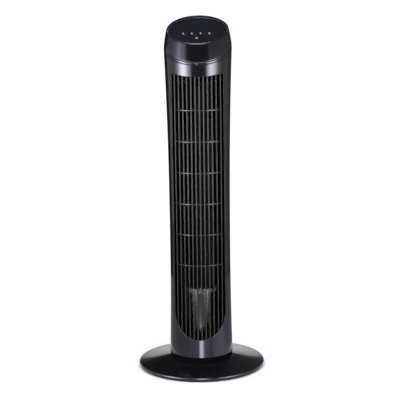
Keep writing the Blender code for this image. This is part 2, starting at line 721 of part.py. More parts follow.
def make_shells(tower, mats):
    def front_rows(angle):
        top = seam_height(angle)
        base = SKIRT_Z + SKIRT_FLARE_HEIGHT
        return lip_rows() + [base + (top - base) * j / SHELL_ROWS for j in range(1, SHELL_ROWS + 1)]

    front = add_piece("front_shell", half_shell(math.pi, front_rows), mats["gloss"], tower)
    cutter = prism(outlet_outline(), 0, BASE_RADIUS)
    cutter.transform(Matrix.Rotation(math.pi / 2, 4, "X"))
    add_boolean(front, add_piece("outlet", cutter, mats["gloss"], tower), "DIFFERENCE")

    slot_width = SLOT_PITCH * SLOT_SHARE
    first = math.pi / 2 - SLOT_PITCH * (SLOT_COLUMNS - 1) / 2 - slot_width / 2
    slots = []
    for index in range(SLOT_COLUMNS):
        slots += [first + index * SLOT_PITCH, first + index * SLOT_PITCH + slot_width]
    split = SHELL_SPLIT / 2 / WAIST_RADIUS
    margin_steps = 5
    before = [split + (slots[0] - split) * i / margin_steps for i in range(margin_steps)]
    after = [math.pi - angle for angle in reversed(before)]
    angles = before + slots + after

    bands = []
    band = (IMPELLER_TOP_Z - IMPELLER_BOTTOM_Z + SLOT_BRIDGE) / SLOT_BANDS
    for index in range(SLOT_BANDS):
        low = IMPELLER_BOTTOM_Z + index * band
        bands += [low, low + band - SLOT_BRIDGE]
    below = lip_rows()
    lift = below[-1]
    below += [lift + (bands[0] - lift) * i / 3 for i in (1, 2)]
    fixed = below + bands

    def row_height(i, j):
        if j < len(fixed):
            return fixed[j]
        top = seam_height(angles[i])
        return bands[-1] + (top - bands[-1]) * (j - len(fixed) + 1) / 2

    def slotted(i, j, k):
        column = i - len(before)
        row = j - len(below)
        in_columns = 0 <= column < len(slots) - 1 and column % 2 == 0
        in_rows = 0 <= row < len(bands) - 1 and row % 2 == 0
        return not (in_columns and in_rows)

    wall = lattice(
        len(angles) - 1,
        len(fixed) + 1,
        1,
        slotted,
        lambda i, j, k: wall_corner(angles[i], row_height(i, j), k == 0),
    )
    rear = add_piece("rear_shell", wall, mats["gloss"], tower)
    gland_hole = radial_cylinder(GLAND_RADIUS + FIT_GAP, math.pi / 2, GLAND_Z, GLAND_LENGTH)
    add_boolean(rear, add_piece("gland_hole", gland_hole, mats["gloss"], tower), "DIFFERENCE")
    for index, (angle, z) in enumerate(shell_screw_places()):
        hole = radial_cylinder(SCREW_HEAD_RADIUS + FIT_GAP, angle, z, SCREW_LENGTH)
        add_boolean(rear, add_piece("screw_hole", hole, mats["gloss"], tower), "DIFFERENCE")
        screw = shell_screw(angle, z)
        add_piece(f"shell_screw_{index + 1}", screw, mats["steel"], tower)

    gland = turned(
        [
            (GLAND_RADIUS + GLAND_FLANGE_STEP, GLAND_FLANGE + FIT_GAP),
            (GLAND_RADIUS + GLAND_FLANGE_STEP, FIT_GAP),
            (GLAND_RADIUS, FIT_GAP),
            (GLAND_RADIUS, GLAND_FLANGE - GLAND_LENGTH),
            (GLAND_BORE, GLAND_FLANGE - GLAND_LENGTH),
            (GLAND_BORE, GLAND_FLANGE + FIT_GAP),
        ],
        20,
    )
    gland.transform(radial_frame(math.pi / 2, GLAND_Z, GLAND_RADIUS + GLAND_FLANGE_STEP))
    add_piece("cord_gland", gland, mats["rubber"], tower)


def radial_frame(angle, z, half_height):
    """A frame whose Z points straight out, as far out as the wall reaches over the given height."""
    reach = max(body_radius(z - half_height), body_radius(z + half_height))
    place = Vector((math.cos(angle), math.sin(angle), 0)) * reach
    place.z = z
    turn = Matrix.Rotation(angle, 4, "Z") @ Matrix.Rotation(math.pi / 2, 4, "Y")
    return Matrix.Translation(place) @ turn


def radial_cylinder(radius, angle, z, reach):
    """A cylinder through the tower's wall, as long inwards as outwards."""
    bm = cylinder(radius, -reach, reach, 16)
    bm.transform(radial_frame(angle, z, radius))
    return bm


def shell_screw_places():
    angles = (SHELL_SCREW_ANGLE, math.pi - SHELL_SCREW_ANGLE)
    low = SKIRT_Z + SHELL_SCREW_INSET
    high = OUTLET_TOP_Z + SHELL_SCREW_RISE
    return [(angle, z) for z in (low, high) for angle in angles]


def shell_screw(angle, z):
    head_top = -SCREW_SUNK
    outline = [
        (0, head_top),
        (SCREW_HEAD_RADIUS, head_top - SCREW_CROWN),
        (SCREW_HEAD_RADIUS, head_top - SCREW_HEAD_HEIGHT),
        (SCREW_SHANK_RADIUS, head_top - SCREW_HEAD_HEIGHT),
        (SCREW_SHANK_RADIUS, head_top - SCREW_LENGTH),
        (0, head_top - SCREW_LENGTH),
    ]
    bm = turned(outline, 14)
    bm.transform(radial_frame(angle, z, SCREW_HEAD_RADIUS))
    return bm


def make_grille(tower, mats):
    rail_inner = OUTLET_HALF_WIDTH + RAIL_GAP
    columns = [-rail_inner - RAIL_WIDTH, -rail_inner]
    for index in range(BAR_COUNT):
        x = (index - (BAR_COUNT - 1) / 2) * BAR_PITCH
        columns += [x - BAR_WIDTH / 2, x + BAR_WIDTH / 2]
    columns += [rail_inner, rail_inner + RAIL_WIDTH]

    top_rib = OUTLET_TOP_Z - TOP_RIB_DROP
    rib_lines = []
    for index in reversed(range(RIB_COUNT)):
        z = top_rib - index * RIB_PITCH
        rib_lines += [z - RIB_HEIGHT / 2, z + RIB_HEIGHT / 2]
    middle = (GRILLE_BOTTOM_Z + END_PLATE + rib_lines[0]) / 2
    rows = [GRILLE_BOTTOM_Z, GRILLE_BOTTOM_Z + END_PLATE, middle]
    rows += rib_lines + [GRILLE_TOP_Z - END_PLATE, GRILLE_TOP_Z]
    depths = [0, BAR_DEPTH, GRILLE_DEPTH]

    last_column = len(columns) - 2
    last_row = len(rows) - 2

    def filled(i, j, k):
        if i in (0, last_column) or j in (0, last_row):
            return True
        bar = i % 2 == 0 and k == 0
        rib = 3 <= j < last_row and j % 2 == 1 and k == 1
        return bar or rib

    def place(i, j, k):
        x, z = columns[i], rows[j]
        front = body_radius(z) - BAR_SETBACK
        return (x, -math.sqrt(front**2 - x**2) + depths[k], z)

    grille = lattice(last_column + 1, last_row + 1, len(depths) - 1, filled, place)
    add_piece("front_grille", grille, mats["satin"], tower)


def make_impeller(impeller, mats):
    pitch = TAU / BLADE_COUNT
    angles = []
    for index in range(BLADE_COUNT):
        angles += [index * pitch, index * pitch + BLADE_WIDTH]
    radii = [IMPELLER_BORE, BLADE_INNER, IMPELLER_RADIUS]
    step = (IMPELLER_TOP_Z - IMPELLER_BOTTOM_Z - DISC_THICKNESS) / SEGMENT_COUNT
    rows = []
    for index in range(SEGMENT_COUNT + 1):
        low = IMPELLER_BOTTOM_Z + index * step
        rows += [low, low + DISC_THICKNESS]
    last_row = len(rows) - 2

    def filled(i, j, k):
        if j in (0, last_row):
            return True
        if j % 2 == 0:
            return k == 1
        return k == 1 and i % 2 == 0

    def place(i, j, k):
        radius = radii[k]
        share = max(0.0, (radius - BLADE_INNER) / (IMPELLER_RADIUS - BLADE_INNER))
        angle = angles[i] + BLADE_SKEW * share
        return (radius * math.cos(angle), radius * math.sin(angle), rows[j])

    wheel = lattice(len(angles), last_row + 1, 2, filled, place, closed=True)
    add_piece("impeller", wheel, mats["satin"], impeller)

    motor_shaft_low = MOTOR_FLOOR_Z + SHAFT_END_LIFT
    grip_top = IMPELLER_BOTTOM_Z + HUB_GRIP
    shaft = cylinder(SHAFT_RADIUS, motor_shaft_low, grip_top, 16)
    add_piece("motor_shaft", shaft, mats["steel"], impeller)
    stub_top = BULKHEAD_Z + BULKHEAD_THICKNESS + BUSH_HEIGHT
    stub = cylinder(SHAFT_RADIUS, IMPELLER_TOP_Z - HUB_GRIP, stub_top, 16)
    add_piece("top_shaft", stub, mats["steel"], impeller)
    bore = SHAFT_RADIUS + FIT_GAP
    low_hub_z = IMPELLER_BOTTOM_Z + DISC_THICKNESS + FIT_GAP
    low_hub = tube(IMPELLER_HUB_RADIUS, bore, low_hub_z, grip_top, 20)
    add_piece("drive_hub", low_hub, mats["rubber"], impeller)
    high_hub_top = IMPELLER_TOP_Z - DISC_THICKNESS - FIT_GAP
    high_hub = tube(IMPELLER_HUB_RADIUS, bore, IMPELLER_TOP_Z - HUB_GRIP, high_hub_top, 20)
    add_piece("top_hub", high_hub, mats["rubber"], impeller)
    stator_low = MOTOR_FLOOR_Z + STATOR_LIFT
    rotor_low = stator_low - ROTOR_OVERHANG
    rotor_high = stator_low + STATOR_HEIGHT + ROTOR_OVERHANG
    rotor = tube(STATOR_BORE - ROTOR_GAP, bore, rotor_low, rotor_high, 24)
    add_piece("motor_rotor", rotor, mats["steel"], impeller)


def make_motor(tower, mats):
    ribs = MOTOR_RIB_COUNT
    angles = []
    rib_turn = MOTOR_RIB_WIDTH / MOTOR_RADIUS
    for index in range(ribs):
        centre = TAU * (index + 0.25) / ribs
        angles += [centre - rib_turn / 2, centre + rib_turn / 2]
    bush_seat = SHAFT_RADIUS + FIT_GAP + BUSH_WALL + FIT_GAP
    radii = [bush_seat, MOTOR_RADIUS - MOTOR_WALL, MOTOR_RADIUS, MOTOR_RADIUS + MOTOR_RIB_HEIGHT]
    roof_z = MOTOR_TOP_Z - MOTOR_WALL
    rows = [MOTOR_FLOOR_Z, roof_z - MOTOR_RIB_STOP, roof_z, MOTOR_TOP_Z]

    def filled(i, j, k):
        if k == 0:
            return j == 2
        if k == 1:
            return True
        return i % 2 == 0 and j < 1

    def place(i, j, k):
        return (radii[k] * math.cos(angles[i]), radii[k] * math.sin(angles[i]), rows[j])

    cover = lattice(len(angles), 3, 3, filled, place, closed=True)
    add_piece("motor_cover", cover, mats["matt"], tower)

    teeth = MOUNT_RING_TEETH
    turn = TAU / teeth
    ring_angles = []
    for index in range(teeth):
        ring_angles += [index * turn, (index + MOUNT_TOOTH_SHARE) * turn]
    ring_low = MOTOR_TOP_Z + FIT_GAP
    ring_outer = MOUNT_RING_RADIUS - MOUNT_RING_TOOTH
    ring_radii = [bush_seat, ring_outer - MOUNT_RING_WALL, ring_outer, MOUNT_RING_RADIUS]
    ring_rows = [ring_low, ring_low + MOUNT_RING_WALL, RING_TOP_Z]

    def ring_filled(i, j, k):
        if k == 0:
            return j == 0
        return k == 1 or i % 2 == 0

    def ring_place(i, j, k):
        angle = ring_angles[i]
        return (ring_radii[k] * math.cos(angle), ring_radii[k] * math.sin(angle), ring_rows[j])

    ring = lattice(len(ring_angles), 2, 3, ring_filled, ring_place, closed=True)
    add_piece("motor_mount_ring", ring, mats["matt"], tower)

    stator_low = MOTOR_FLOOR_Z + STATOR_LIFT
    stator_outer = MOTOR_RADIUS - MOTOR_WALL - STATOR_FIT
    stator = tube(stator_outer, STATOR_BORE, stator_low, stator_low + STATOR_HEIGHT, 24)
    add_piece("motor_stator", stator, mats["copper"], tower)
    bush_bore = SHAFT_RADIUS + FIT_GAP
    low_bush = tube(bush_bore + BUSH_WALL, bush_bore, MOTOR_TOP_Z - BUSH_HEIGHT, MOTOR_TOP_Z, 20)
    add_piece("motor_bush", low_bush, mats["brass"], tower)


def make_bulkhead(tower, mats):
    """The plate over the impeller, whose collar holds the top bush."""
    bush_outer = SHAFT_RADIUS + FIT_GAP + BUSH_WALL
    seat = bush_outer + FIT_GAP
    collar = seat + COLLAR_WALL
    low, high = BULKHEAD_Z, BULKHEAD_Z + BULKHEAD_THICKNESS
    grille_back = body_radius(BULKHEAD_Z) - BAR_SETBACK - GRILLE_DEPTH
    edge = min(grille_back, LOOM_CIRCLE - LOOM_RADIUS) - BULKHEAD_GAP
    outline = [
        (edge, high),
        (edge, low),
        (seat, low),
        (seat, high + BUSH_HEIGHT),
        (collar, high + BUSH_HEIGHT),
        (collar, high),
    ]
    add_piece("upper_bulkhead", turned(outline, 28), mats["matt"], tower)
    bush = tube(bush_outer, SHAFT_RADIUS + FIT_GAP, high, high + BUSH_HEIGHT - BUSH_RECESS, 20)
    add_piece("top_bush", bush, mats["brass"], tower)


def make_air_guides(tower, mats):
    """Two upright sheets: a scroll that opens round one side, and a short tongue at the other."""
    low = RING_TOP_Z + GUIDE_END_GAP
    high = BULKHEAD_Z - GUIDE_END_GAP
    start_radius = IMPELLER_RADIUS + GUIDE_CLEARANCE
    end_radius = WAIST_RADIUS - SHELL_WALL - GUIDE_MARGIN

    def sheet(angles, steps):
        def place(i, j, k):
            share = i / steps
            angle = angles[0] + (angles[1] - angles[0]) * share
            radius = start_radius + (end_radius - start_radius) * share**GUIDE_POWER + k * GUIDE_THICKNESS
            return (radius * math.cos(angle), radius * math.sin(angle), (low, high)[j])

        return lattice(steps, 1, 1, lambda i, j, k: True, place)

    add_piece("air_scroll", sheet(SCROLL_ANGLES, 16), mats["matt"], tower)
    add_piece("air_tongue", sheet(TONGUE_ANGLES, 8), mats["matt"], tower)


def make_cap(tower, mats):
    trim_low = SEAM_Z + TRIM_GAP
    trim_high = trim_low + TRIM_HEIGHT
    outline = [
        (TRIM_RADIUS, trim_high, SEAM_SLOPE),
        (TRIM_RADIUS, trim_low, SEAM_SLOPE),
        (TRIM_RADIUS - TRIM_WIDTH, trim_low, SEAM_SLOPE),
        (TRIM_RADIUS - TRIM_WIDTH, trim_high, SEAM_SLOPE),
    ]
    trim = add_piece("trim_ring", turned(outline, CAP_SEGMENTS), mats["gloss"], tower)
    ir_z = (trim_low + trim_high) / 2 - SEAM_SLOPE * TRIM_RADIUS
    hole = ir_solid(IR_WIDTH + 2 * FIT_GAP, IR_HEIGHT + 2 * FIT_GAP, 2 * IR_DEPTH, ir_z, CUT_PAST)
    add_boolean(trim, add_piece("ir_hole", hole, mats["gloss"], tower), "DIFFERENCE")
    lens = ir_solid(IR_WIDTH, IR_HEIGHT, IR_DEPTH, ir_z, IR_PROUD)
    add_piece("ir_window", lens, mats["lens"], tower)

    ledge_z = PANEL_Z - PANEL_THICKNESS - FIT_GAP
    wall_inner = RIM_RADIUS - CAP_WALL
    ledge_inner = LIP_INNER_RADIUS - PANEL_LEDGE
    middle_radius = (RIM_RADIUS + CAP_RADIUS) / 2 + CAP_BULGE
    outline = [
        (CAP_RADIUS, CAP_LOW_Z, SEAM_SLOPE),
        (CAP_RADIUS - CAP_WALL, CAP_LOW_Z, SEAM_SLOPE),
        (wall_inner, ledge_z - LEDGE_ROOT, PANEL_SLOPE),
        (ledge_inner, ledge_z - LEDGE_THICKNESS, PANEL_SLOPE),
        (ledge_inner, ledge_z, PANEL_SLOPE),
        (LIP_INNER_RADIUS, ledge_z, PANEL_SLOPE),
        (LIP_INNER_RADIUS, RIM_Z - LIP_CHAMFER, RIM_SLOPE),
        (LIP_INNER_RADIUS + LIP_CHAMFER, RIM_Z, RIM_SLOPE),
        (RIM_RADIUS - RIM_ROUND, RIM_Z, RIM_SLOPE),
        (RIM_RADIUS - 0.25 * RIM_ROUND, RIM_Z - 0.35 * RIM_ROUND, RIM_SLOPE),
        (RIM_RADIUS, RIM_Z - RIM_ROUND - LIP_CHAMFER, RIM_SLOPE),
        (middle_radius, (RIM_Z + CAP_LOW_Z) / 2, (RIM_SLOPE + SEAM_SLOPE) / 2),
    ]
    add_piece("top_cap", turned(outline, CAP_SEGMENTS), mats["gloss"], tower)


def ir_solid(width, height, depth, z, proud):
    """An oval plug that points forwards out of the trim ring."""
    bm = cylinder(0.5, -depth, proud, 16)
    bmesh.ops.scale(bm, vec=(width, height, 1), verts=bm.verts)
    bm.transform(Matrix.Rotation(math.pi / 2, 4, "X"))
    bm.transform(Matrix.Translation((0, -TRIM_RADIUS, z)))
    return bm


def panel_frame():
    """The panel's frame: X across, Y up the slope, Z straight out of its top face."""
    return Matrix.Translation((0, 0, PANEL_Z)) @ Matrix.Rotation(PANEL_ANGLE, 4, "X")


def button_places():
    return [((index - (BUTTON_COUNT - 1) / 2) * BUTTON_PITCH, BUTTON_ROW) for index in range(BUTTON_COUNT)]


def panel_cylinder(radius, low, high, segments, place):
    bm = cylinder(radius, low, high, segments, place)
    bm.transform(panel_frame())
    return bm


def make_panel(tower, mats):
    outline = [
        (PANEL_RADIUS, PANEL_Z, PANEL_SLOPE),
        (PANEL_RADIUS, PANEL_Z - PANEL_THICKNESS, PANEL_SLOPE),
        (0, PANEL_Z - PANEL_THICKNESS),
        (0, PANEL_Z),
    ]
    panel = add_piece("control_panel", turned(outline, CAP_SEGMENTS), mats["panel"], tower)
    for place in button_places():
        hole = panel_cylinder(BUTTON_RADIUS + FIT_GAP, -2 * PANEL_THICKNESS, PANEL_THICKNESS, 16, place)
        add_boolean(panel, add_piece("button_hole", hole, mats["panel"], tower), "DIFFERENCE")
    hole = panel_cylinder(LENS_RADIUS + FIT_GAP, -2 * PANEL_THICKNESS, PANEL_THICKNESS, 16, (0, LENS_ROW))
    add_boolean(panel, add_piece("lens_hole", hole, mats["panel"], tower), "DIFFERENCE")
    post_x = BOARD_WIDTH / 2 - BOARD_POST_INSET
    post_y = BOARD_LENGTH / 2 - BOARD_POST_INSET
    for x in (-1, 1):
        for y in (-1, 1):
            place = (x * post_x, y * post_y)
            low = -BOARD_DROP + FIT_GAP
            post = panel_cylinder(BOARD_POST_RADIUS, low, -PANEL_THICKNESS / 2, 8, place)
            add_boolean(panel, add_piece("board_post", post, mats["panel"], tower), "UNION")

    line_low = PANEL_Z + FIT_GAP
    outline = [
        (PANEL_RADIUS, line_low + LINE_HEIGHT, PANEL_SLOPE),
        (PANEL_RADIUS, line_low, PANEL_SLOPE),
        (PANEL_RADIUS - LINE_WIDTH, line_low, PANEL_SLOPE),
        (PANEL_RADIUS - LINE_WIDTH, line_low + LINE_HEIGHT, PANEL_SLOPE),
    ]
    add_piece("panel_line", turned(outline, CAP_SEGMENTS), mats["line"], tower)

    lens = panel_cylinder(LENS_RADIUS, -PANEL_THICKNESS, LENS_PROUD, 16, (0, LENS_ROW))
    add_piece("status_lens", lens, mats["lens"], tower)

    board = block(
        (BOARD_WIDTH, BOARD_LENGTH, BOARD_THICKNESS), (0, 0, -BOARD_DROP - BOARD_THICKNESS / 2)
    )
    board.transform(panel_frame())
    add_piece("control_board", board, mats["board"], tower)

    switch_low = -BOARD_DROP + FIT_GAP
    for index, (x, y) in enumerate(button_places()):
        switch = block((SWITCH_SIZE, SWITCH_SIZE, SWITCH_HEIGHT), (x, y, switch_low + SWITCH_HEIGHT / 2))
        switch.transform(panel_frame())
        add_piece(f"tact_switch_{index + 1}", switch, mats["matt"], tower)


def make_buttons(carriers, mats):
    """Each button is modelled round its own carrier, whose Z points out of the panel."""
    flange_high = -PANEL_THICKNESS - RUNNING_GAP
    flange_low = flange_high - BUTTON_FLANGE
    stem_low = -BOARD_DROP + FIT_GAP + SWITCH_HEIGHT + FIT_GAP + BUTTON_TRAVEL
    for index, carrier in enumerate(carriers):
        outline = [
            (0, BUTTON_PROUD - BUTTON_DISH),
            (BUTTON_RADIUS * 0.6, BUTTON_PROUD - 0.8 * BUTTON_DISH),
            (BUTTON_RADIUS - BUTTON_RIM, BUTTON_PROUD),
            (BUTTON_RADIUS, BUTTON_PROUD - BUTTON_EDGE),
            (BUTTON_RADIUS, flange_high),
            (BUTTON_RADIUS + BUTTON_FLANGE_STEP, flange_high),
            (BUTTON_RADIUS + BUTTON_FLANGE_STEP, flange_low),
            (STEM_RADIUS, flange_low),
            (STEM_RADIUS, stem_low),
            (0, stem_low),
        ]
        add_piece(f"button_{index + 1}", turned(outline, 16), mats["gloss"], carrier, local=True)


def make_electrics(tower, mats):
    floor_top = FLOOR_Z + FLOOR_THICKNESS + FIT_GAP
    capacitor = block(CAPACITOR_SIZE, (*CAPACITOR_PLACE, floor_top + CAPACITOR_SIZE[2] / 2))
    add_piece("run_capacitor", capacitor, mats["matt"], tower)
    terminals = block(TERMINAL_SIZE, (*TERMINAL_PLACE, floor_top + TERMINAL_SIZE[2] / 2))
    add_piece("terminal_block", terminals, mats["nylon"], tower)

    curve = bpy.data.curves.new("wiring_loom", "CURVE")
    curve.dimensions = "3D"
    curve.bevel_depth = LOOM_RADIUS
    curve.bevel_resolution = 2
    curve.use_fill_caps = True
    route = loom_route()
    spline = curve.splines.new("POLY")
    spline.points.add(len(route) - 1)
    for point, place in zip(spline.points, route):
        point.co = (*(place - world_place(tower)), 1)
    curve.materials.append(mats["rubber"])
    loom = bpy.data.objects.new("wiring_loom", curve)
    bpy.context.collection.objects.link(loom)
    loom.parent = tower


def loom_route():
    """The loom runs down inside the rear wall, from under the board to beside the motor."""
    down = Vector((LOOM_CIRCLE * math.cos(LOOM_ANGLE), LOOM_CIRCLE * math.sin(LOOM_ANGLE), 0))
    board_z = PANEL_Z - BOARD_DROP - LOOM_BOARD_DROP
    start = Vector((*LOOM_START, 0))
    bend = BULKHEAD_Z + BULKHEAD_THICKNESS + LOOM_BEND
    low_end = MOTOR_FLOOR_Z + LOOM_END_LIFT
    route = []
    for step in range(9):
        turn = math.pi / 2 * step / 8
        flat = start.lerp(down, math.sin(turn))
        route.append(Vector((flat.x, flat.y, board_z + (bend - board_z) * (1 - math.cos(turn)))))
    straight = 14
    for step in range(1, straight + 1):
        z = bend + (low_end - bend) * step / straight
        route.append(Vector((down.x, down.y, z)))
    return route


def main():
    clear_scene()
    mats = {
        "gloss": make_material("gloss_black", (0.012, 0.012, 0.014), 0.14),
        "satin": make_material("satin_black", (0.018, 0.018, 0.019), 0.34),
        "matt": make_material("matt_black", (0.022, 0.022, 0.023), 0.55),
        "panel": make_material("panel_blue_black", (0.010, 0.012, 0.018), 0.10),
        "line": make_material("line_grey", (0.42, 0.42, 0.44), 0.30),
        "lens": make_material("smoked_lens", (0.16, 0.16, 0.17), 0.12),
        "rubber": make_material("rubber", (0.020, 0.020, 0.020), 0.75),
        "steel": make_material("zinc_steel", (0.55, 0.55, 0.56), 0.35, 1.0),
        "brass": make_material("bronze_bush", (0.50, 0.36, 0.16), 0.35, 1.0),
        "copper": make_material("wound_core", (0.40, 0.21, 0.11), 0.40, 0.8),
        "nylon": make_material("white_nylon", (0.72, 0.71, 0.67), 0.45),
        "board": make_material("board_green", (0.02, 0.13, 0.06), 0.45),
    }
    root = make_carrier("base_frame", (0, 0, 0))
    tower = make_carrier("tower_axis", (0, 0, FLOOR_Z), root)
    impeller = make_carrier("impeller_axis", (0, 0, IMPELLER_BOTTOM_Z), tower)
    crank = make_carrier("crank_axis", (0, SWING_AXIS_Y, FLOOR_Z), tower)
    buttons = []
    for index, (x, y) in enumerate(button_places()):
        place = panel_frame() @ Vector((x, y, 0))
        buttons.append(make_carrier(f"button_axis_{index + 1}", place, tower, PANEL_ANGLE))

    make_base(root, mats)
    make_swivel(root, tower, mats)
    make_swing_drive(tower, crank, mats)
    make_shells(tower, mats)
    make_grille(tower, mats)
    make_impeller(impeller, mats)
    make_motor(tower, mats)
    make_bulkhead(tower, mats)
    make_air_guides(tower, mats)
    make_cap(tower, mats)
    make_panel(tower, mats)
    make_buttons(buttons, mats)
    make_electrics(tower, mats)


main()
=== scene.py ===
"""Looks for the tower fan: finely made shells, grille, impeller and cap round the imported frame."""

import json
import math

import bmesh
import bpy
from mathutils import Matrix, Vector


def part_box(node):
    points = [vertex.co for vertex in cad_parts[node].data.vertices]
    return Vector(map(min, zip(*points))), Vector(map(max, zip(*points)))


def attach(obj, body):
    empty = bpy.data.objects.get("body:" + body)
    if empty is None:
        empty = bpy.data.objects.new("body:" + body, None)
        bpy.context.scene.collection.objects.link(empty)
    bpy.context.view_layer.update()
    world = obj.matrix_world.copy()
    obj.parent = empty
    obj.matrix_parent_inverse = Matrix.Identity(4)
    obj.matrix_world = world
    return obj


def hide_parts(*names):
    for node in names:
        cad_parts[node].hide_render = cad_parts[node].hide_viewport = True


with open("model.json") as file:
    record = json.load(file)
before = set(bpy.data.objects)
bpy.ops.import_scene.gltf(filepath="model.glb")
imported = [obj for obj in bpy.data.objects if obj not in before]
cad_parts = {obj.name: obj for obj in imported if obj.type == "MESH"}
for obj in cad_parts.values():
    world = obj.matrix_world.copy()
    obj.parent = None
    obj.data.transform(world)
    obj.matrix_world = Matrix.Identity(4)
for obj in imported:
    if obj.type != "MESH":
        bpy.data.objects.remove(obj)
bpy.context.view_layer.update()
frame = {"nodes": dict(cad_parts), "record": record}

MM = 0.001
TAU = 2 * math.pi


def box(node):
    """The lowest and highest corners of a CAD node's box."""
    low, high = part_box(node)
    return Vector(low), Vector(high)


# ---------------------------------------------------------------- sizes, from the frame where it has them
BASE_LOW, BASE_HIGH = box("base_shell")
BASE_RADIUS = BASE_HIGH.x
BASE_BOTTOM = BASE_LOW.z
BASE_WALL = 2.4 * MM
RIM_TOP = BASE_BOTTOM + 7 * MM
NECK_TOP = BASE_HIGH.z
NECK_RADIUS = 61 * MM
POST_HOLE_RADIUS = 10.5 * MM

SKIRT_Z = box("front_shell")[0].z
SKIRT_RADIUS = 67.2 * MM
SKIRT_FLARE = 0.15 * MM
SKIRT_FLARE_HEIGHT = 4 * MM
WAIST_Z = 260 * MM
WAIST_RADIUS = 63.9 * MM
SEAM_Z = 679.3 * MM
SEAM_RADIUS = box("rear_shell")[1].x
SEAM_SLOPE = math.tan(math.radians(25))
SHELL_WALL = 2.2 * MM
SHELL_SPLIT = 0.3 * MM
SPLIT_ANGLE = SHELL_SPLIT / 2 / WAIST_RADIUS

OUTLET_HALF_WIDTH = 53.2 * MM
OUTLET_BOTTOM_Z = SKIRT_Z + 38 * MM
OUTLET_TOP_Z = SEAM_Z - SEAM_SLOPE * SEAM_RADIUS - 23 * MM
OUTLET_TOP_SLOPE = 0.30
OUTLET_CORNER = 4 * MM

GRILLE_LOW, GRILLE_HIGH = box("front_grille")
GRILLE_SIDE = OUTLET_HALF_WIDTH + 0.5 * MM
BAR_COUNT = 12
BAR_PITCH = 8.5 * MM
BAR_WIDTH = 2.4 * MM
BAR_DEPTH = 7 * MM
BAR_NOSE = 0.5 * MM
BAR_SETBACK = 3.5 * MM
RIB_COUNT = 6
RIB_PITCH = 65.3 * MM
RIB_HEIGHT = 2.2 * MM
RIB_INSET = 1.3 * MM
TOP_RIB_Z = OUTLET_TOP_Z - 69 * MM
RAIL_WIDTH = 2.2 * MM
RAIL_DEPTH = 11 * MM
END_HEIGHT = 3 * MM

WHEEL_LOW, WHEEL_HIGH = box("impeller")
WHEEL_RADIUS = 35 * MM
WHEEL_SEGMENTS = 6
DISC_THICKNESS = 2.4 * MM
BLADE_INNER = 26 * MM
BLADE_COUNT = 28
BLADE_LEAN = math.radians(16)
BLADE_HALF_THICKNESS = 0.5 * MM
SHAFT_HOLE_RADIUS = 3.5 * MM

MOTOR_LOW, MOTOR_HIGH = box("motor_cover")
MOTOR_RADIUS = 29 * MM
MOTOR_RIBS = 12
MOTOR_HOLE_RADIUS = 6.6 * MM
CASTING_WALL = 2 * MM
RING_LOW, RING_HIGH = box("motor_mount_ring")
RING_RADIUS = RING_HIGH.x
RING_TEETH = 16
RING_ROOT = RING_RADIUS - 1.8 * MM

INTAKE_COLUMNS = 9
INTAKE_BANDS = 5
INTAKE_PITCH = math.radians(11.5)
INTAKE_SLOT_SHARE = 0.56
INTAKE_BRIDGE = 7 * MM
SCREEN_GAP = 0.5 * MM
SCREEN_THICKNESS = 0.8 * MM
GLAND_Z = 50 * MM
GLAND_HOLE_RADIUS = 5.3 * MM
SCREW_COUNT = 4
SCREW_HOLE_RADIUS = 3.9 * MM

TRIM_GAP = 1.1 * MM
TRIM_HEIGHT = 4.3 * MM
TRIM_DEPTH = 5 * MM
TRIM_RADIUS = box("trim_ring")[1].x
CAP_LOW_Z = SEAM_Z + 2 * TRIM_GAP + TRIM_HEIGHT
CAP_RADIUS = box("top_cap")[1].x
CAP_WALL = 2.2 * MM
CAP_BULGE = 0.55 * MM
RIM_Z = CAP_LOW_Z + 31 * MM
RIM_RADIUS = 64.9 * MM
RIM_SLOPE = math.tan(math.radians(22.8))
LIP_INNER = RIM_RADIUS - 2.6 * MM
PANEL_ANGLE = math.radians(21.5)
PANEL_SLOPE = math.tan(PANEL_ANGLE)
PANEL_Z = RIM_Z - 2.8 * MM
PANEL_THICKNESS = 2.6 * MM
PANEL_RADIUS = LIP_INNER - 0.3 * MM
PANEL_FRAME = Matrix.Translation((0, 0, PANEL_Z)) @ Matrix.Rotation(PANEL_ANGLE, 4, "X")
LINE_WIDTH = 0.8 * MM
LINE_HEIGHT = 0.5 * MM

BUTTON_COUNT = 4
BUTTON_RADIUS = 4.3 * MM
BUTTON_PITCH = 18 * MM
BUTTON_ROW = -16 * MM
STEM_RADIUS = 1.6 * MM
LENS_ROW = -37.5 * MM
LENS_RADIUS = 3.2 * MM
LENS_PROUD = 0.6 * MM

ROUND_STEPS = 192


# ---------------------------------------------------------------- shader maths
class Wire:
    """A shader socket. Python's operators on it add Math nodes."""

    def __init__(self, finish, socket):
        self.finish = finish
        self.socket = socket

    def math(self, operation, *others):
        """A Math node on this socket and the others."""
        values = {0: self, **{index + 1: other for index, other in enumerate(others)}}
        return self.finish.add("ShaderNodeMath", {"operation": operation}, values)

    def __add__(self, other):
        return self.math("ADD", other)

    def __mul__(self, other):
        return self.math("MULTIPLY", other)

    def __sub__(self, other):
        return self.math("SUBTRACT", other)

    def __rsub__(self, other):
        return self.finish.add("ShaderNodeMath", {"operation": "SUBTRACT"}, {0: other, 1: self})

    __radd__ = __add__
    __rmul__ = __mul__

    def between(self, low, high, out_low=0.0, out_high=1.0):
        """Maps low..high to out_low..out_high and holds the ends."""
        values = {0: self, 1: low, 2: high, 3: out_low, 4: out_high}
        return self.finish.add("ShaderNodeMapRange", {"clamp": True}, values)


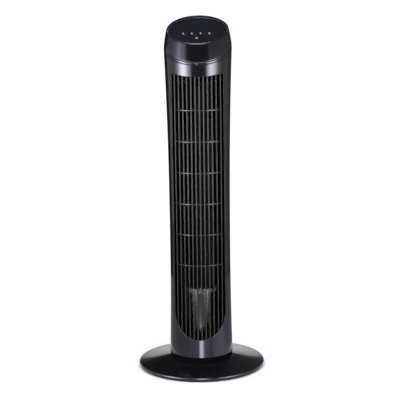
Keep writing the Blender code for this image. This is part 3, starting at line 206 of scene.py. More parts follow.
class Finish:
    """One surface finish: a material with its Principled shader and the nodes that feed it."""

    def __init__(self, name, roughness, metallic=0.0, coat=0.0, specular=0.5, tint=(1, 1, 1)):
        self.mat = bpy.data.materials.new(name)
        self.mat.use_nodes = True
        self.tree = self.mat.node_tree
        self.shader = self.tree.nodes["Principled BSDF"]
        self.shader.inputs["Roughness"].default_value = roughness
        self.shader.inputs["Metallic"].default_value = metallic
        self.shader.inputs["Coat Weight"].default_value = coat
        self.shader.inputs["Coat Roughness"].default_value = 0.04
        self.shader.inputs["Specular IOR Level"].default_value = specular
        self.shader.inputs["Specular Tint"].default_value = (*tint, 1.0)
        self.place = self.add("ShaderNodeTexCoord", output="Object")

    def add(self, kind, settings=None, values=None, output=0):
        """Any node: its settings first, then values or wires for its inputs."""
        node = self.tree.nodes.new(kind)
        for key, value in (settings or {}).items():
            setattr(node, key, value)
        for key, value in (values or {}).items():
            self.plug(node.inputs[key], value)
        return Wire(self, node.outputs[output])

    def plug(self, socket, value):
        if isinstance(value, Wire):
            self.tree.links.new(value.socket, socket)
        else:
            socket.default_value = value

    def set(self, name, value):
        self.plug(self.shader.inputs[name], value)

    def scaled(self, scale):
        """The place on the piece, stretched along each axis."""
        return self.add("ShaderNodeVectorMath", {"operation": "MULTIPLY"}, {0: self.place, 1: scale})

    def noise(self, scale, detail=3.0, stretch=None):
        vector = self.scaled(stretch) if stretch else self.place
        values = {"Vector": vector, "Scale": scale, "Detail": detail}
        return self.add("ShaderNodeTexNoise", None, values, "Fac")

    def mix(self, factor, low, high):
        values = {"Factor": factor, 6: low, 7: high}
        return self.add("ShaderNodeMix", {"data_type": "RGBA"}, values, 2)

    def bump(self, height, strength, distance):
        values = {"Height": height, "Strength": strength, "Distance": distance}
        self.set("Normal", self.add("ShaderNodeBump", None, values))

    def edges(self):
        """1 on worn outer edges, 0 elsewhere."""
        pointed = self.add("ShaderNodeNewGeometry", output="Pointiness")
        return pointed.between(0.52, 0.60)

    def facing_up(self):
        """1 on what faces up, 0 on what stands upright."""
        normal = self.add("ShaderNodeNewGeometry", output="Normal")
        split = self.add("ShaderNodeSeparateXYZ", None, {0: normal}, "Z")
        return split.between(0.55, 0.95)

    def dust(self, amount):
        """Fine settled specks on what faces up."""
        values = {"Vector": self.place, "Scale": 420.0, "Randomness": 1.0}
        cell = self.add("ShaderNodeTexVoronoi", {"feature": "F1"}, values, "Distance")
        specks = 1 - cell.between(0.10, 0.16)
        patches = self.noise(30.0, 4.0).between(0.48, 0.72)
        return specks * patches * self.facing_up() * amount


def rgb(red, green, blue):
    return (red, green, blue, 1.0)


def moulded_gloss(name, colour, roughness, specular=0.42, wear=0.5):
    """High-gloss moulded plastic: a faint swirl in the sheen, fine hairlines, pale worn edges, dust."""
    finish = Finish(name, roughness, specular=specular, tint=(0.84, 0.83, 1.0))
    cloud = finish.noise(14.0, 4.0)
    fine = finish.noise(900.0, 2.0)
    hairlines = finish.noise(60.0, 2.0, (26.0, 26.0, 1.0)).between(0.60, 0.78)
    base = finish.mix(cloud, rgb(*colour), rgb(*[part * 1.35 for part in colour]))
    worn = finish.mix(finish.edges() * wear, base, rgb(0.10, 0.10, 0.11))
    finish.set("Base Color", finish.mix(finish.dust(0.15), worn, rgb(0.32, 0.31, 0.30)))
    sheen = finish.noise(9.0, 5.0).between(0.35, 0.7, roughness * 0.8, roughness * 1.3)
    finish.set("Roughness", sheen + hairlines * 0.035 + fine * 0.01)
    swell = finish.noise(55.0, 1.0)
    finish.bump(swell * 0.7 + fine * 0.05, 0.05, 0.0006)
    return finish.mat


def moulded_satin(name, colour, roughness, grain=0.12, specular=0.5, wear=0.45):
    """Satin plastic with a spark-eroded grain and lighter rubbed edges."""
    finish = Finish(name, roughness, specular=specular)
    grains = finish.noise(1500.0, 3.0)
    cloud = finish.noise(22.0, 4.0)
    base = finish.mix(cloud, rgb(*colour), rgb(*[part * 1.4 for part in colour]))
    worn = finish.mix(finish.edges() * wear, base, rgb(0.12, 0.12, 0.125))
    finish.set("Base Color", finish.mix(finish.dust(wear), worn, rgb(0.30, 0.29, 0.28)))
    finish.set("Roughness", grains.between(0.3, 0.7, roughness * 0.88, roughness * 1.12))
    finish.bump(grains, grain, 0.0002)
    return finish.mat


def zinc_steel(name):
    """Zinc-plated steel: soft grey spangles under upright brushing."""
    finish = Finish(name, 0.32, metallic=1.0)
    brushed = finish.noise(40.0, 4.0, (1.0, 1.0, 30.0))
    values = {"Vector": finish.place, "Scale": 260.0}
    spangle = finish.add("ShaderNodeTexVoronoi", {"feature": "F1"}, values, "Color")
    grey = finish.add("ShaderNodeSeparateColor", None, {0: spangle}, "Red")
    base = finish.mix(grey * 0.5 + brushed * 0.5, rgb(0.42, 0.43, 0.45), rgb(0.66, 0.66, 0.65))
    finish.set("Base Color", base)
    finish.set("Roughness", brushed.between(0.3, 0.7, 0.24, 0.42))
    finish.bump(brushed, 0.15, 0.0002)
    return finish.mat


def cast_alloy(name, shade, roughness):
    """Dark lacquered casting: a fine skin texture with rubbed high spots."""
    finish = Finish(name, roughness, metallic=1.0)
    skin = finish.noise(700.0, 3.0)
    cloud = finish.noise(35.0, 4.0)
    dark = rgb(shade * 0.85, shade * 0.85, shade * 0.88)
    light = rgb(shade * 1.2, shade * 1.2, shade * 1.24)
    base = finish.mix(cloud, dark, light)
    finish.set("Base Color", finish.mix(finish.edges() * 0.4, base, rgb(0.35, 0.35, 0.36)))
    finish.set("Roughness", skin.between(0.3, 0.7, roughness * 0.85, roughness * 1.15))
    finish.bump(skin, 0.1, 0.0002)
    return finish.mat


def sintered_bronze(name):
    """Porous bearing bronze."""
    finish = Finish(name, 0.42, metallic=1.0)
    pores = finish.noise(1800.0, 3.0)
    base = finish.mix(pores, rgb(0.36, 0.23, 0.10), rgb(0.58, 0.40, 0.19))
    finish.set("Base Color", base)
    finish.set("Roughness", pores.between(0.3, 0.7, 0.35, 0.55))
    finish.bump(pores, 0.4, 0.0002)
    return finish.mat


def woven_screen(name):
    """A fine black woven dust screen: threads round the tower crossed by upright ones."""
    finish = Finish(name, 0.6, specular=0.3)
    values = {"Vector": finish.place, "Scale": 520.0, "Distortion": 0.0}
    level = finish.add("ShaderNodeTexWave", {"bands_direction": "Z"}, values, "Fac")
    upright = finish.add("ShaderNodeTexWave", {"bands_direction": "X"}, values, "Fac")
    threads = level.math("MAXIMUM", upright)
    fluff = finish.noise(90.0, 5.0).between(0.55, 0.8)
    base = finish.mix(threads, rgb(0.001, 0.001, 0.001), rgb(0.012, 0.012, 0.012))
    finish.set("Base Color", finish.mix(fluff * 0.3, base, rgb(0.05, 0.048, 0.045)))
    finish.set("Roughness", threads.between(0.0, 1.0, 0.85, 0.5))
    finish.bump(threads, 0.5, 0.0004)
    return finish.mat


def wound_core(name):
    """Varnished copper windings: fine turns with a dark gap between them."""
    finish = Finish(name, 0.32, metallic=0.7)
    values = {"Vector": finish.place, "Scale": 420.0, "Distortion": 0.6, "Detail": 1.0}
    turns = finish.add("ShaderNodeTexWave", {"bands_direction": "Z"}, values, "Fac")
    finish.set("Base Color", finish.mix(turns, rgb(0.10, 0.035, 0.015), rgb(0.52, 0.24, 0.10)))
    finish.set("Roughness", turns.between(0.0, 1.0, 0.5, 0.26))
    finish.bump(turns, 0.6, 0.0004)
    return finish.mat


def rubber(name, shade=0.024, specular=0.3):
    """Moulded rubber with a dusty bloom."""
    finish = Finish(name, 0.72, specular=specular)
    grain = finish.noise(1100.0, 4.0)
    bloom = finish.noise(40.0, 4.0)
    dark = rgb(shade / 2, shade / 2, shade / 2)
    light = rgb(shade * 1.5, shade * 1.5, shade * 1.45)
    base = finish.mix(bloom, dark, light)
    finish.set("Base Color", finish.mix(finish.dust(0.1), base, rgb(0.2, 0.19, 0.18)))
    finish.set("Roughness", grain.between(0.3, 0.7, 0.62, 0.85))
    finish.bump(grain, 0.3, 0.0003)
    return finish.mat


def nylon(name):
    """Milky nylon with a faint cloud in it."""
    finish = Finish(name, 0.42)
    cloud = finish.noise(120.0, 3.0)
    base = finish.mix(cloud, rgb(0.62, 0.60, 0.54), rgb(0.78, 0.77, 0.72))
    finish.set("Base Color", base)
    finish.set("Roughness", cloud.between(0.3, 0.7, 0.36, 0.5))
    finish.bump(finish.noise(700.0, 2.0), 0.1, 0.0002)
    return finish.mat


def solder_mask(name):
    """A printed board: green mask with paler tracks under it."""
    finish = Finish(name, 0.35)
    values = {"Vector": finish.place, "Scale": 300.0}
    settings = {"distance": "MANHATTAN", "feature": "F1"}
    cell = finish.add("ShaderNodeTexVoronoi", settings, values, "Distance")
    tracks = cell.between(0.42, 0.46)
    finish.set("Base Color", finish.mix(tracks, rgb(0.012, 0.09, 0.04), rgb(0.03, 0.20, 0.09)))
    finish.set("Roughness", finish.noise(80.0).between(0.3, 0.7, 0.28, 0.42))
    finish.bump(tracks, 0.2, 0.0002)
    return finish.mat


def pale_line(name):
    """The grey line round the panel, painted pale towards the front as a painted highlight."""
    finish = Finish(name, 0.25, metallic=0.2)
    cloud = finish.noise(60.0, 3.0)
    depth = finish.add("ShaderNodeSeparateXYZ", None, {0: finish.place}, "Y")
    # Painted highlight: the line goes from dark grey at the back to light grey at the front, with a faint
    # cloud in it.
    front_highlight = (1 - depth.between(-0.050, 0.015)) * cloud.between(0.2, 0.8, 0.8, 1.0)
    finish.set("Base Color", finish.mix(front_highlight, rgb(0.10, 0.10, 0.11), rgb(0.74, 0.74, 0.78)))
    finish.set("Roughness", cloud.between(0.3, 0.7, 0.18, 0.34))
    finish.bump(finish.noise(500.0), 0.05, 0.0002)
    return finish.mat


def painted_highlight_mark(name):
    """Pale grey paint for the crescents on the keys and the status window: a painted highlight, a little
    patchy.
    """
    finish = Finish(name, 0.4)
    patches = finish.noise(600.0, 3.0)
    finish.set("Base Color", finish.mix(patches, rgb(0.40, 0.40, 0.43), rgb(0.60, 0.60, 0.64)))
    finish.set("Roughness", patches.between(0.3, 0.7, 0.32, 0.5))
    return finish.mat


def smoked_lens(name):
    """Smoky clear plastic over a dark sensor, with its grey lightened as a painted highlight."""
    finish = Finish(name, 0.1, coat=0.6)
    cloud = finish.noise(500.0, 2.0)
    # Partly the lens's own smoky grey, partly a painted highlight that makes it lighter.
    finish.set("Base Color", finish.mix(cloud, rgb(0.10, 0.10, 0.11), rgb(0.18, 0.18, 0.19)))
    finish.set("Roughness", cloud.between(0.3, 0.7, 0.07, 0.16))
    return finish.mat


FINISHES = {
    "gloss_black": moulded_gloss("gloss_black_finish", (0.0035, 0.0035, 0.0045), 0.10),
    "satin_black": moulded_satin("satin_black_finish", (0.006, 0.006, 0.0063), 0.30),
    "matt_black": moulded_satin("matt_black_finish", (0.006, 0.006, 0.0063), 0.5, 0.25),
    "panel_black": moulded_gloss("panel_finish", (0.0025, 0.0032, 0.0055), 0.12, 0.3, 0.0),
    "line_grey": pale_line("line_grey_finish"),
    "smoked_lens": smoked_lens("smoked_lens_finish"),
    "rubber_black": rubber("rubber_finish"),
    "zinc_steel": zinc_steel("zinc_steel_finish"),
    "bronze": sintered_bronze("bronze_finish"),
    "wound_core": wound_core("wound_core_finish"),
    "white_nylon": nylon("nylon_finish"),
    "board_green": solder_mask("board_finish"),
}


# ---------------------------------------------------------------- mesh helpers
def add_piece(name, bm, body, slot, nodes=(), sharp=35, bevel=None, finish=None):
    """Makes the mesh a piece that rides on a body and stands for its CAD nodes."""
    if bm.calc_volume(signed=True) < 0:
        bmesh.ops.reverse_faces(bm, faces=bm.faces)
    mesh = bpy.data.meshes.new(name)
    bm.to_mesh(mesh)
    bm.free()
    mesh.shade_smooth()
    mesh.set_sharp_from_angle(angle=math.radians(sharp))
    mesh.materials.append(finish or FINISHES[slot])
    obj = bpy.data.objects.new(name, mesh)
    bpy.context.collection.objects.link(obj)
    if bevel:
        add_bevel(obj, *bevel)
    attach(obj, body)
    if nodes:
        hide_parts(*nodes)
    return obj


def add_bevel(obj, width, segments, angle, clamp=True):
    """Rounds the edges that turn by more than an angle."""
    modifier = obj.modifiers.new("edge_round", "BEVEL")
    modifier.width = width
    modifier.segments = segments
    modifier.limit_method = "ANGLE"
    modifier.angle_limit = math.radians(angle)
    modifier.use_clamp_overlap = clamp


def even_normals(obj):
    """Keeps flat faces flat beside their rounded edges."""
    modifier = obj.modifiers.new("even_normals", "WEIGHTED_NORMAL")
    modifier.keep_sharp = True
    modifier.weight = 80


def cut(obj, cutter_bm):
    """Cuts a solid out of a piece and applies it, so that later modifiers see the result."""
    mesh = bpy.data.meshes.new("cutter")
    if cutter_bm.calc_volume(signed=True) < 0:
        bmesh.ops.reverse_faces(cutter_bm, faces=cutter_bm.faces)
    cutter_bm.to_mesh(mesh)
    cutter_bm.free()
    cutter = bpy.data.objects.new("cutter", mesh)
    bpy.context.collection.objects.link(cutter)
    modifier = obj.modifiers.new("cut", "BOOLEAN")
    modifier.operation = "DIFFERENCE"
    modifier.object = cutter
    modifier.solver = "EXACT"
    bpy.context.view_layer.update()
    graph = bpy.context.evaluated_depsgraph_get()
    result = bpy.data.meshes.new_from_object(obj.evaluated_get(graph))
    obj.modifiers.remove(modifier)
    obj.data = result
    bpy.data.objects.remove(cutter, do_unlink=True)


def turned(profile, steps=ROUND_STEPS):
    """A solid turned round Z from a closed outline of (radius, height) or (radius, height, slope).

    A slope lifts the point in proportion to y, so that the ring through it tilts.
    """
    bm = bmesh.new()
    poles = [bm.verts.new((0, 0, point[1])) if point[0] == 0 else None for point in profile]
    columns = []
    for step in range(steps):
        angle = TAU * step / steps
        column = []
        for point, pole in zip(profile, poles):
            x, y = point[0] * math.cos(angle), point[0] * math.sin(angle)
            slope = point[2] if len(point) > 2 else 0
            column.append(pole or bm.verts.new((x, y, point[1] + slope * y)))
        columns.append(column)
    for step in range(steps):
        here, there = columns[step], columns[(step + 1) % steps]
        for low in range(len(profile)):
            high = (low + 1) % len(profile)
            corners = list(dict.fromkeys([here[low], there[low], there[high], here[high]]))
            if len(corners) > 2:
                bm.faces.new(corners)
    return bm


def rounded(outline, radius, steps=3):
    """Rounds the corners of a closed outline of (radius, height[, slope]) points, but not those on Z."""
    result = []
    count = len(outline)
    for index, point in enumerate(outline):
        if point[0] == 0:
            result.append(point)
            continue
        before, after = outline[index - 1], outline[(index + 1) % count]
        here = Vector(point[:2])
        to_before, to_after = Vector(before[:2]) - here, Vector(after[:2]) - here
        reach = min(radius, 0.45 * to_before.length, 0.45 * to_after.length)
        start = here + to_before.normalized() * reach
        end = here + to_after.normalized() * reach
        for step in range(steps + 1):
            share = step / steps
            spot = start.lerp(here, share).lerp(here.lerp(end, share), share)
            result.append((spot.x, spot.y, *point[2:]))
    return result


# The sides of a grid cell: the step to the next cell, and the side's corners in turn.
CELL_SIDES = (
    ((-1, 0, 0), ((0, 0, 0), (0, 0, 1), (0, 1, 1), (0, 1, 0))),
    ((1, 0, 0), ((1, 0, 0), (1, 1, 0), (1, 1, 1), (1, 0, 1))),
    ((0, -1, 0), ((0, 0, 0), (1, 0, 0), (1, 0, 1), (0, 0, 1))),
    ((0, 1, 0), ((0, 1, 0), (0, 1, 1), (1, 1, 1), (1, 1, 0))),
    ((0, 0, -1), ((0, 0, 0), (0, 1, 0), (1, 1, 0), (1, 0, 0))),
    ((0, 0, 1), ((0, 0, 1), (1, 0, 1), (1, 1, 1), (0, 1, 1))),
)


def lattice(columns, rows, filled, place):
    """One solid from the filled cells of a grid, one cell thick, with its corners at place(i, j, k)."""
    bm = bmesh.new()
    corners = {}

    def corner(*key):
        if key not in corners:
            corners[key] = bm.verts.new(place(*key))
        return corners[key]

    cells = dict.fromkeys((i, j) for i in range(columns) for j in range(rows) if filled(i, j))
    for i, j in cells:
        for (di, dj, dk), side in CELL_SIDES:
            if dk or (i + di, j + dj) not in cells:
                bm.faces.new([corner(i + a, j + b, c) for a, b, c in side])
    return bm


def swept(path, section):
    """A closed solid through the rings that section(step) gives at each step of a path."""
    bm = bmesh.new()
    rings = [[bm.verts.new(spot) for spot in section(point)] for point in path]
    for here, there in zip(rings, rings[1:]):
        for side in range(len(here)):
            after = (side + 1) % len(here)
            bm.faces.new([here[side], there[side], there[after], here[after]])
    bm.faces.new(list(reversed(rings[0])))
    bm.faces.new(rings[-1])
    bmesh.ops.recalc_face_normals(bm, faces=bm.faces)
    return bm


def smooth_again(obj):
    """Shades a piece smoothly between its sharp edges, after a cut."""
    obj.data.shade_smooth()
    obj.data.set_sharp_from_angle(angle=math.radians(35))


def across(half, steps=40):
    """Evenly spaced places from -half to half."""
    return [-half + 2 * half * step / steps for step in range(steps + 1)]


def join(parts):
    """Puts several meshes into one."""
    whole = bmesh.new()
    for part in parts:
        mesh = bpy.data.meshes.new("part")
        part.to_mesh(mesh)
        part.free()
        whole.from_mesh(mesh)
        bpy.data.meshes.remove(mesh)
    return whole


def spread(values, step):
    """Adds evenly spaced values between the given ones, none further apart than step."""
    result = [values[0]]
    for low, high in zip(values, values[1:]):
        count = max(1, math.ceil((high - low) / step - 1e-6))
        result += [low + (high - low) * index / count for index in range(1, count + 1)]
    return result


# ---------------------------------------------------------------- the tower's outline
def body_radius(z):
    """The shell's radius at a height: least at the waist, with a curve to the skirt and one to the seam."""
    if z < WAIST_Z:
        share = (WAIST_Z - z) / (WAIST_Z - SKIRT_Z)
        return WAIST_RADIUS + (SKIRT_RADIUS - WAIST_RADIUS) * share**2
    share = min((z - WAIST_Z) / (SEAM_Z - WAIST_Z), 1.0)
    return WAIST_RADIUS + (SEAM_RADIUS - WAIST_RADIUS) * share**2.4


def seam_height(angle):
    """Where the sloping seam meets the shell, found by a few steps nearer."""
    z = SEAM_Z
    for _ in range(6):
        z = SEAM_Z + SEAM_SLOPE * body_radius(z) * math.sin(angle)
    return z


def wall_corner(angle, z, inner):
    """A point on the shell's inner or outer face. The skirt flares a little at its foot."""
    rise = max(0.0, 1 - (z - SKIRT_Z) / SKIRT_FLARE_HEIGHT)
    radius = body_radius(z) + (-SHELL_WALL if inner else SKIRT_FLARE * rise**2)
    return (radius * math.cos(angle), radius * math.sin(angle), z)


def outlet_top(x):
    """The outlet's top edge, which rises with the curve of the shell to each side."""
    return OUTLET_TOP_Z + OUTLET_TOP_SLOPE * (SEAM_RADIUS - math.sqrt(SEAM_RADIUS**2 - x**2))


def outlet_corner():
    """The small arc at the outlet's top right, and where it meets the top edge."""
    near = OUTLET_HALF_WIDTH - OUTLET_CORNER
    tilt = math.atan(OUTLET_TOP_SLOPE * near / math.sqrt(SEAM_RADIUS**2 - near**2))
    meet = OUTLET_HALF_WIDTH - OUTLET_CORNER * (1 + math.sin(tilt))
    centre_z = outlet_top(meet) - OUTLET_CORNER * math.cos(tilt)
    arc = []
    for step in range(9):
        angle = (math.pi / 2 + tilt) * step / 8
        arc.append((near + OUTLET_CORNER * math.cos(angle), centre_z + OUTLET_CORNER * math.sin(angle)))
    return arc, meet


def outlet_outline():
    """A half circle below, straight sides and a shallow curve on top."""
    arc_steps, top_steps = 72, 40
    points = []
    for step in range(arc_steps + 1):
        angle = math.pi + math.pi * step / arc_steps
        rise = OUTLET_HALF_WIDTH * (1 + math.sin(angle))
        points.append((OUTLET_HALF_WIDTH * math.cos(angle), OUTLET_BOTTOM_Z + rise))
    arc, meet = outlet_corner()
    points += arc
    for step in range(1, top_steps):
        x = meet - 2 * meet * step / top_steps
        points.append((x, outlet_top(x)))
    points += [(-x, z) for x, z in reversed(arc)]
    return points


def outlet_cutter():
    """The outlet's outline drawn from in front of the shell back to the tower's axis."""
    bm = bmesh.new()
    near = [bm.verts.new((x, -120 * MM, z)) for x, z in outlet_outline()]
    far = [bm.verts.new((x, 0, z)) for x, z in outlet_outline()]
    bm.faces.new(near)
    bm.faces.new(list(reversed(far)))
    for index in range(len(near)):
        after = (index + 1) % len(near)
        bm.faces.new([near[index], far[index], far[after], near[after]])
    bmesh.ops.recalc_face_normals(bm, faces=bm.faces)
    return bm


def make_front_shell():
    columns, rows, lip = 72, 110, 0.006
    span = math.pi - 2 * SPLIT_ANGLE
    angles = [math.pi + SPLIT_ANGLE + span * i / columns for i in range(columns + 1)]
    shares = [0, lip / 3, lip * 2 / 3, lip] + [lip + (1 - lip) * j / rows for j in range(1, rows + 1)]

    def place(i, j, k):
        height = seam_height(angles[i]) - SKIRT_Z
        return wall_corner(angles[i], SKIRT_Z + height * shares[j], k == 0)

    bm = lattice(columns, len(shares) - 1, lambda i, j: True, place)
    shell = add_piece("front_casing", bm, "tower", "gloss_black", ["front_shell"])
    cut(shell, outlet_cutter())
    smooth_again(shell)
    add_bevel(shell, 0.45 * MM, 3, 50, clamp=False)


# ---------------------------------------------------------------- base
def dome(share):
    """The base's height from its rim (0) to its neck (1)."""
    edge = RIM_TOP + 0.9 * MM
    return edge + (NECK_TOP - 2.5 * MM - edge) * share**1.25


def make_base():
    neck_edge = NECK_RADIUS + 3 * MM
    start = BASE_RADIUS - 2.5 * MM
    top = []
    for step in range(31):
        share = step / 30
        top.append((start + (neck_edge - start) * share, dome(share)))
    rim = [
        (BASE_RADIUS - 1.4 * MM, BASE_BOTTOM),
        (BASE_RADIUS - 0.9 * MM, BASE_BOTTOM + 0.3 * MM),
        (BASE_RADIUS - 0.35 * MM, BASE_BOTTOM + 2.0 * MM),
        (BASE_RADIUS - 0.05 * MM, BASE_BOTTOM + 4.2 * MM),
        (BASE_RADIUS, BASE_BOTTOM + 5.2 * MM),
        (BASE_RADIUS - 0.25 * MM, RIM_TOP - 0.6 * MM),
        (BASE_RADIUS - 1.0 * MM, RIM_TOP + 0.35 * MM),
    ]
    neck = [
        (NECK_RADIUS + 1.2 * MM, NECK_TOP - 2.1 * MM),
        (NECK_RADIUS + 0.2 * MM, NECK_TOP - 1.2 * MM),
        (NECK_RADIUS, NECK_TOP - 0.5 * MM),
        (NECK_RADIUS - 0.5 * MM, NECK_TOP),
        (POST_HOLE_RADIUS, NECK_TOP),
        (POST_HOLE_RADIUS, NECK_TOP - BASE_WALL),
        (NECK_RADIUS - BASE_WALL, NECK_TOP - BASE_WALL),
    ]
    inside = [(r - BASE_WALL, z - BASE_WALL) for r, z in reversed(top[:-2])]
    foot = [(BASE_RADIUS - BASE_WALL, BASE_BOTTOM + 4 * MM), (BASE_RADIUS - BASE_WALL, BASE_BOTTOM)]
    outline = rim + top + neck + inside[1:] + foot
    add_piece("round_base", turned(outline, 256), "root", "gloss_black", ["base_shell"], sharp=30)


def make_shadow_ring():
    """A soft ring, near black and almost without gloss, that closes the gap between the base's neck and the
    tower's skirt: painted shade where the skirt shades the neck.
    """
    outline = [
        (SKIRT_RADIUS - 0.8 * MM, SKIRT_Z - 0.5 * MM),
        (SKIRT_RADIUS - 0.8 * MM, NECK_TOP - 3.6 * MM),
        (NECK_RADIUS + 0.2 * MM, NECK_TOP - 3.6 * MM),
        (NECK_RADIUS + 0.2 * MM, SKIRT_Z - 0.5 * MM),
    ]
    seal = turned(rounded(outline, 0.4 * MM))
    # Near black with almost no gloss: painted shade under the skirt.
    add_piece("shadow_ring", seal, "root", "rubber_black", finish=rubber("shadow_ring_finish", 0.002, 0.01))


# ---------------------------------------------------------------- rear casing
def intake_edges():
    """The sides of the intake slots as angles, and the ends of their bands as heights."""
    width = INTAKE_PITCH * INTAKE_SLOT_SHARE
    first = math.pi / 2 - INTAKE_PITCH * (INTAKE_COLUMNS - 1) / 2 - width / 2
    slots, bands = [], []
    for index in range(INTAKE_COLUMNS):
        slots += [first + index * INTAKE_PITCH, first + index * INTAKE_PITCH + width]
    band = (WHEEL_HIGH.z - WHEEL_LOW.z + INTAKE_BRIDGE) / INTAKE_BANDS
    for index in range(INTAKE_BANDS):
        start = WHEEL_LOW.z + index * band
        bands += [start, start + band - INTAKE_BRIDGE]
    return slots, bands


def make_rear_shell():
    slots, bands = intake_edges()
    angles = spread([SPLIT_ANGLE] + slots + [math.pi - SPLIT_ANGLE], math.radians(2.6))
    lip = [SKIRT_Z + part * SKIRT_FLARE_HEIGHT for part in (0, 0.33, 0.66, 1)]
    fixed = spread(lip + bands, 6 * MM)
    above = 12

    def height(i, j):
        if j < len(fixed):
            return fixed[j]
        return fixed[-1] + (seam_height(angles[i]) - fixed[-1]) * (j - len(fixed) + 1) / above

    def filled(i, j):
        if j >= len(fixed) - 1:
            return True
        middle_angle = (angles[i] + angles[i + 1]) / 2
        middle_z = (fixed[j] + fixed[j + 1]) / 2
        in_slot = any(a < middle_angle < b for a, b in zip(slots[::2], slots[1::2]))
        in_band = any(a < middle_z < b for a, b in zip(bands[::2], bands[1::2]))
        return not (in_slot and in_band)

    def place(i, j, k):
        return wall_corner(angles[i], height(i, j), k == 0)

    bm = lattice(len(angles) - 1, len(fixed) - 1 + above, filled, place)
    rear = add_piece("rear_casing", bm, "tower", "gloss_black", ["rear_shell"])
    cut(rear, radial_cylinder(GLAND_HOLE_RADIUS, math.pi / 2, GLAND_Z))
    for index in range(1, SCREW_COUNT + 1):
        low, high = box(f"shell_screw_{index}")
        middle = (low + high) / 2
        cut(rear, radial_cylinder(SCREW_HOLE_RADIUS, math.atan2(middle.y, middle.x), middle.z))
    smooth_again(rear)
    add_bevel(rear, 0.4 * MM, 2, 50, clamp=False)


def make_intake_screen():
    """The fine dust screen inside the rear shell, behind its slots."""
    span = INTAKE_PITCH * (INTAKE_COLUMNS - 1) / 2 + math.radians(12)
    columns, rows = 48, 60
    low, high = WHEEL_LOW.z - 12 * MM, WHEEL_HIGH.z + 12 * MM

    def place(i, j, k):
        angle = math.pi / 2 - span + 2 * span * i / columns
        z = low + (high - low) * j / rows
        radius = body_radius(z) - SHELL_WALL - SCREEN_GAP - (1 - k) * SCREEN_THICKNESS
        return (radius * math.cos(angle), radius * math.sin(angle), z)

    screen = lattice(columns, rows, lambda i, j: True, place)
    add_piece("intake_screen", screen, "tower", "matt_black", finish=woven_screen("intake_screen_finish"))


def radial_cylinder(radius, angle, z):
    """A short cylinder through the shell's wall, square to it."""
    bm = turned([(radius, 5 * MM), (radius, -8 * MM), (0, -8 * MM), (0, 5 * MM)], 48)
    place = Vector((body_radius(z) * math.cos(angle), body_radius(z) * math.sin(angle), z))
    bm.transform(Matrix.Rotation(math.pi / 2, 4, "Y"))
    bm.transform(Matrix.Translation(place) @ Matrix.Rotation(angle, 4, "Z"))
    return bm


# ---------------------------------------------------------------- grille
def grille_y(x, z):
    """Where the grille's curved face is, at a place across and a height."""
    return -math.sqrt((body_radius(z) - BAR_SETBACK) ** 2 - x**2)


def grille_levels():
    """The heights at which the upright pieces of the grille follow the shell's waist."""
    return spread([GRILLE_LOW.z, GRILLE_HIGH.z], 12 * MM)


def grille_bar(index):
    """An upright bar with a rounded nose."""
    x = (index - (BAR_COUNT - 1) / 2) * BAR_PITCH
    half = BAR_WIDTH / 2

    def ring(z):
        front = grille_y(x, z)
        back = front + BAR_DEPTH + 0.2 * MM
        spots = [(x - half, back, z), (x - half, front + BAR_NOSE, z)]
        for step in range(1, 6):
            turn = math.pi - math.pi * step / 6
            spots.append((x + half * math.cos(turn), front + BAR_NOSE * (1 - math.sin(turn)), z))
        return spots + [(x + half, front + BAR_NOSE, z), (x + half, back, z)]

    return swept(grille_levels(), ring)


def grille_rib(index):
    """A cross rib that follows the grille's curve, a little behind the bar noses."""
    z = TOP_RIB_Z - index * RIB_PITCH

    def ring(x):
        front = grille_y(x, z) + RIB_INSET
        back, half = front + BAR_DEPTH, RIB_HEIGHT / 2
        corners = [(front, z - half), (front, z + half), (back, z + half), (back, z - half)]
        return [(x, *spot) for spot in rounded(corners, 0.65 * MM, 4)]

    return swept(across(GRILLE_SIDE), ring)


def grille_rail(sign):
    """An upright rail behind the outlet's side edge."""
    inner, outer = sign * GRILLE_SIDE, sign * (GRILLE_SIDE + RAIL_WIDTH)

    def ring(z):
        near, far = grille_y(inner, z), grille_y(outer, z)
        back = [(outer, far + RAIL_DEPTH, z), (inner, near + RAIL_DEPTH, z)]
        return [(inner, near, z), (outer, far, z)] + back

    return swept(grille_levels(), ring)


def grille_end(z):
    """The curved plate that closes the bars at one end."""
    low, high = z - END_HEIGHT / 2, z + END_HEIGHT / 2

    def ring(x):
        near = grille_y(x, z)
        far = near + RAIL_DEPTH
        return [(x, near, low), (x, near, high), (x, far, high), (x, far, low)]

    return swept(across(GRILLE_SIDE + 2 * MM), ring)


def make_grille():
    parts = [grille_bar(index) for index in range(BAR_COUNT)]
    parts += [grille_rail(sign) for sign in (-1, 1)]
    parts += [grille_end(z) for z in (GRILLE_LOW.z + END_HEIGHT / 2, GRILLE_HIGH.z - END_HEIGHT / 2)]
    dull = moulded_satin("grille_bar_finish", (0.004, 0.004, 0.0042), 0.26, specular=0.3, wear=0.2)
    add_piece("outlet_grille", join(parts), "tower", "satin_black", ["front_grille"], sharp=45, finish=dull)
    ribs = join([grille_rib(index) for index in range(RIB_COUNT)])
    add_piece("grille_ribs", ribs, "tower", "satin_black", sharp=60, finish=FINISHES["gloss_black"])


# ---------------------------------------------------------------- impeller and motor
def wheel_disc(index):
    """One of the discs that hold the blades. The two end discs reach in to the hubs."""
    z = WHEEL_LOW.z + index * (WHEEL_HIGH.z - WHEEL_LOW.z - DISC_THICKNESS) / WHEEL_SEGMENTS
    inner = SHAFT_HOLE_RADIUS if index in (0, WHEEL_SEGMENTS) else BLADE_INNER - 1 * MM
    top = z + DISC_THICKNESS
    outline = [(WHEEL_RADIUS, top), (WHEEL_RADIUS, z), (inner, z), (inner, top)]
    return turned(rounded(outline, 0.5 * MM), 96)


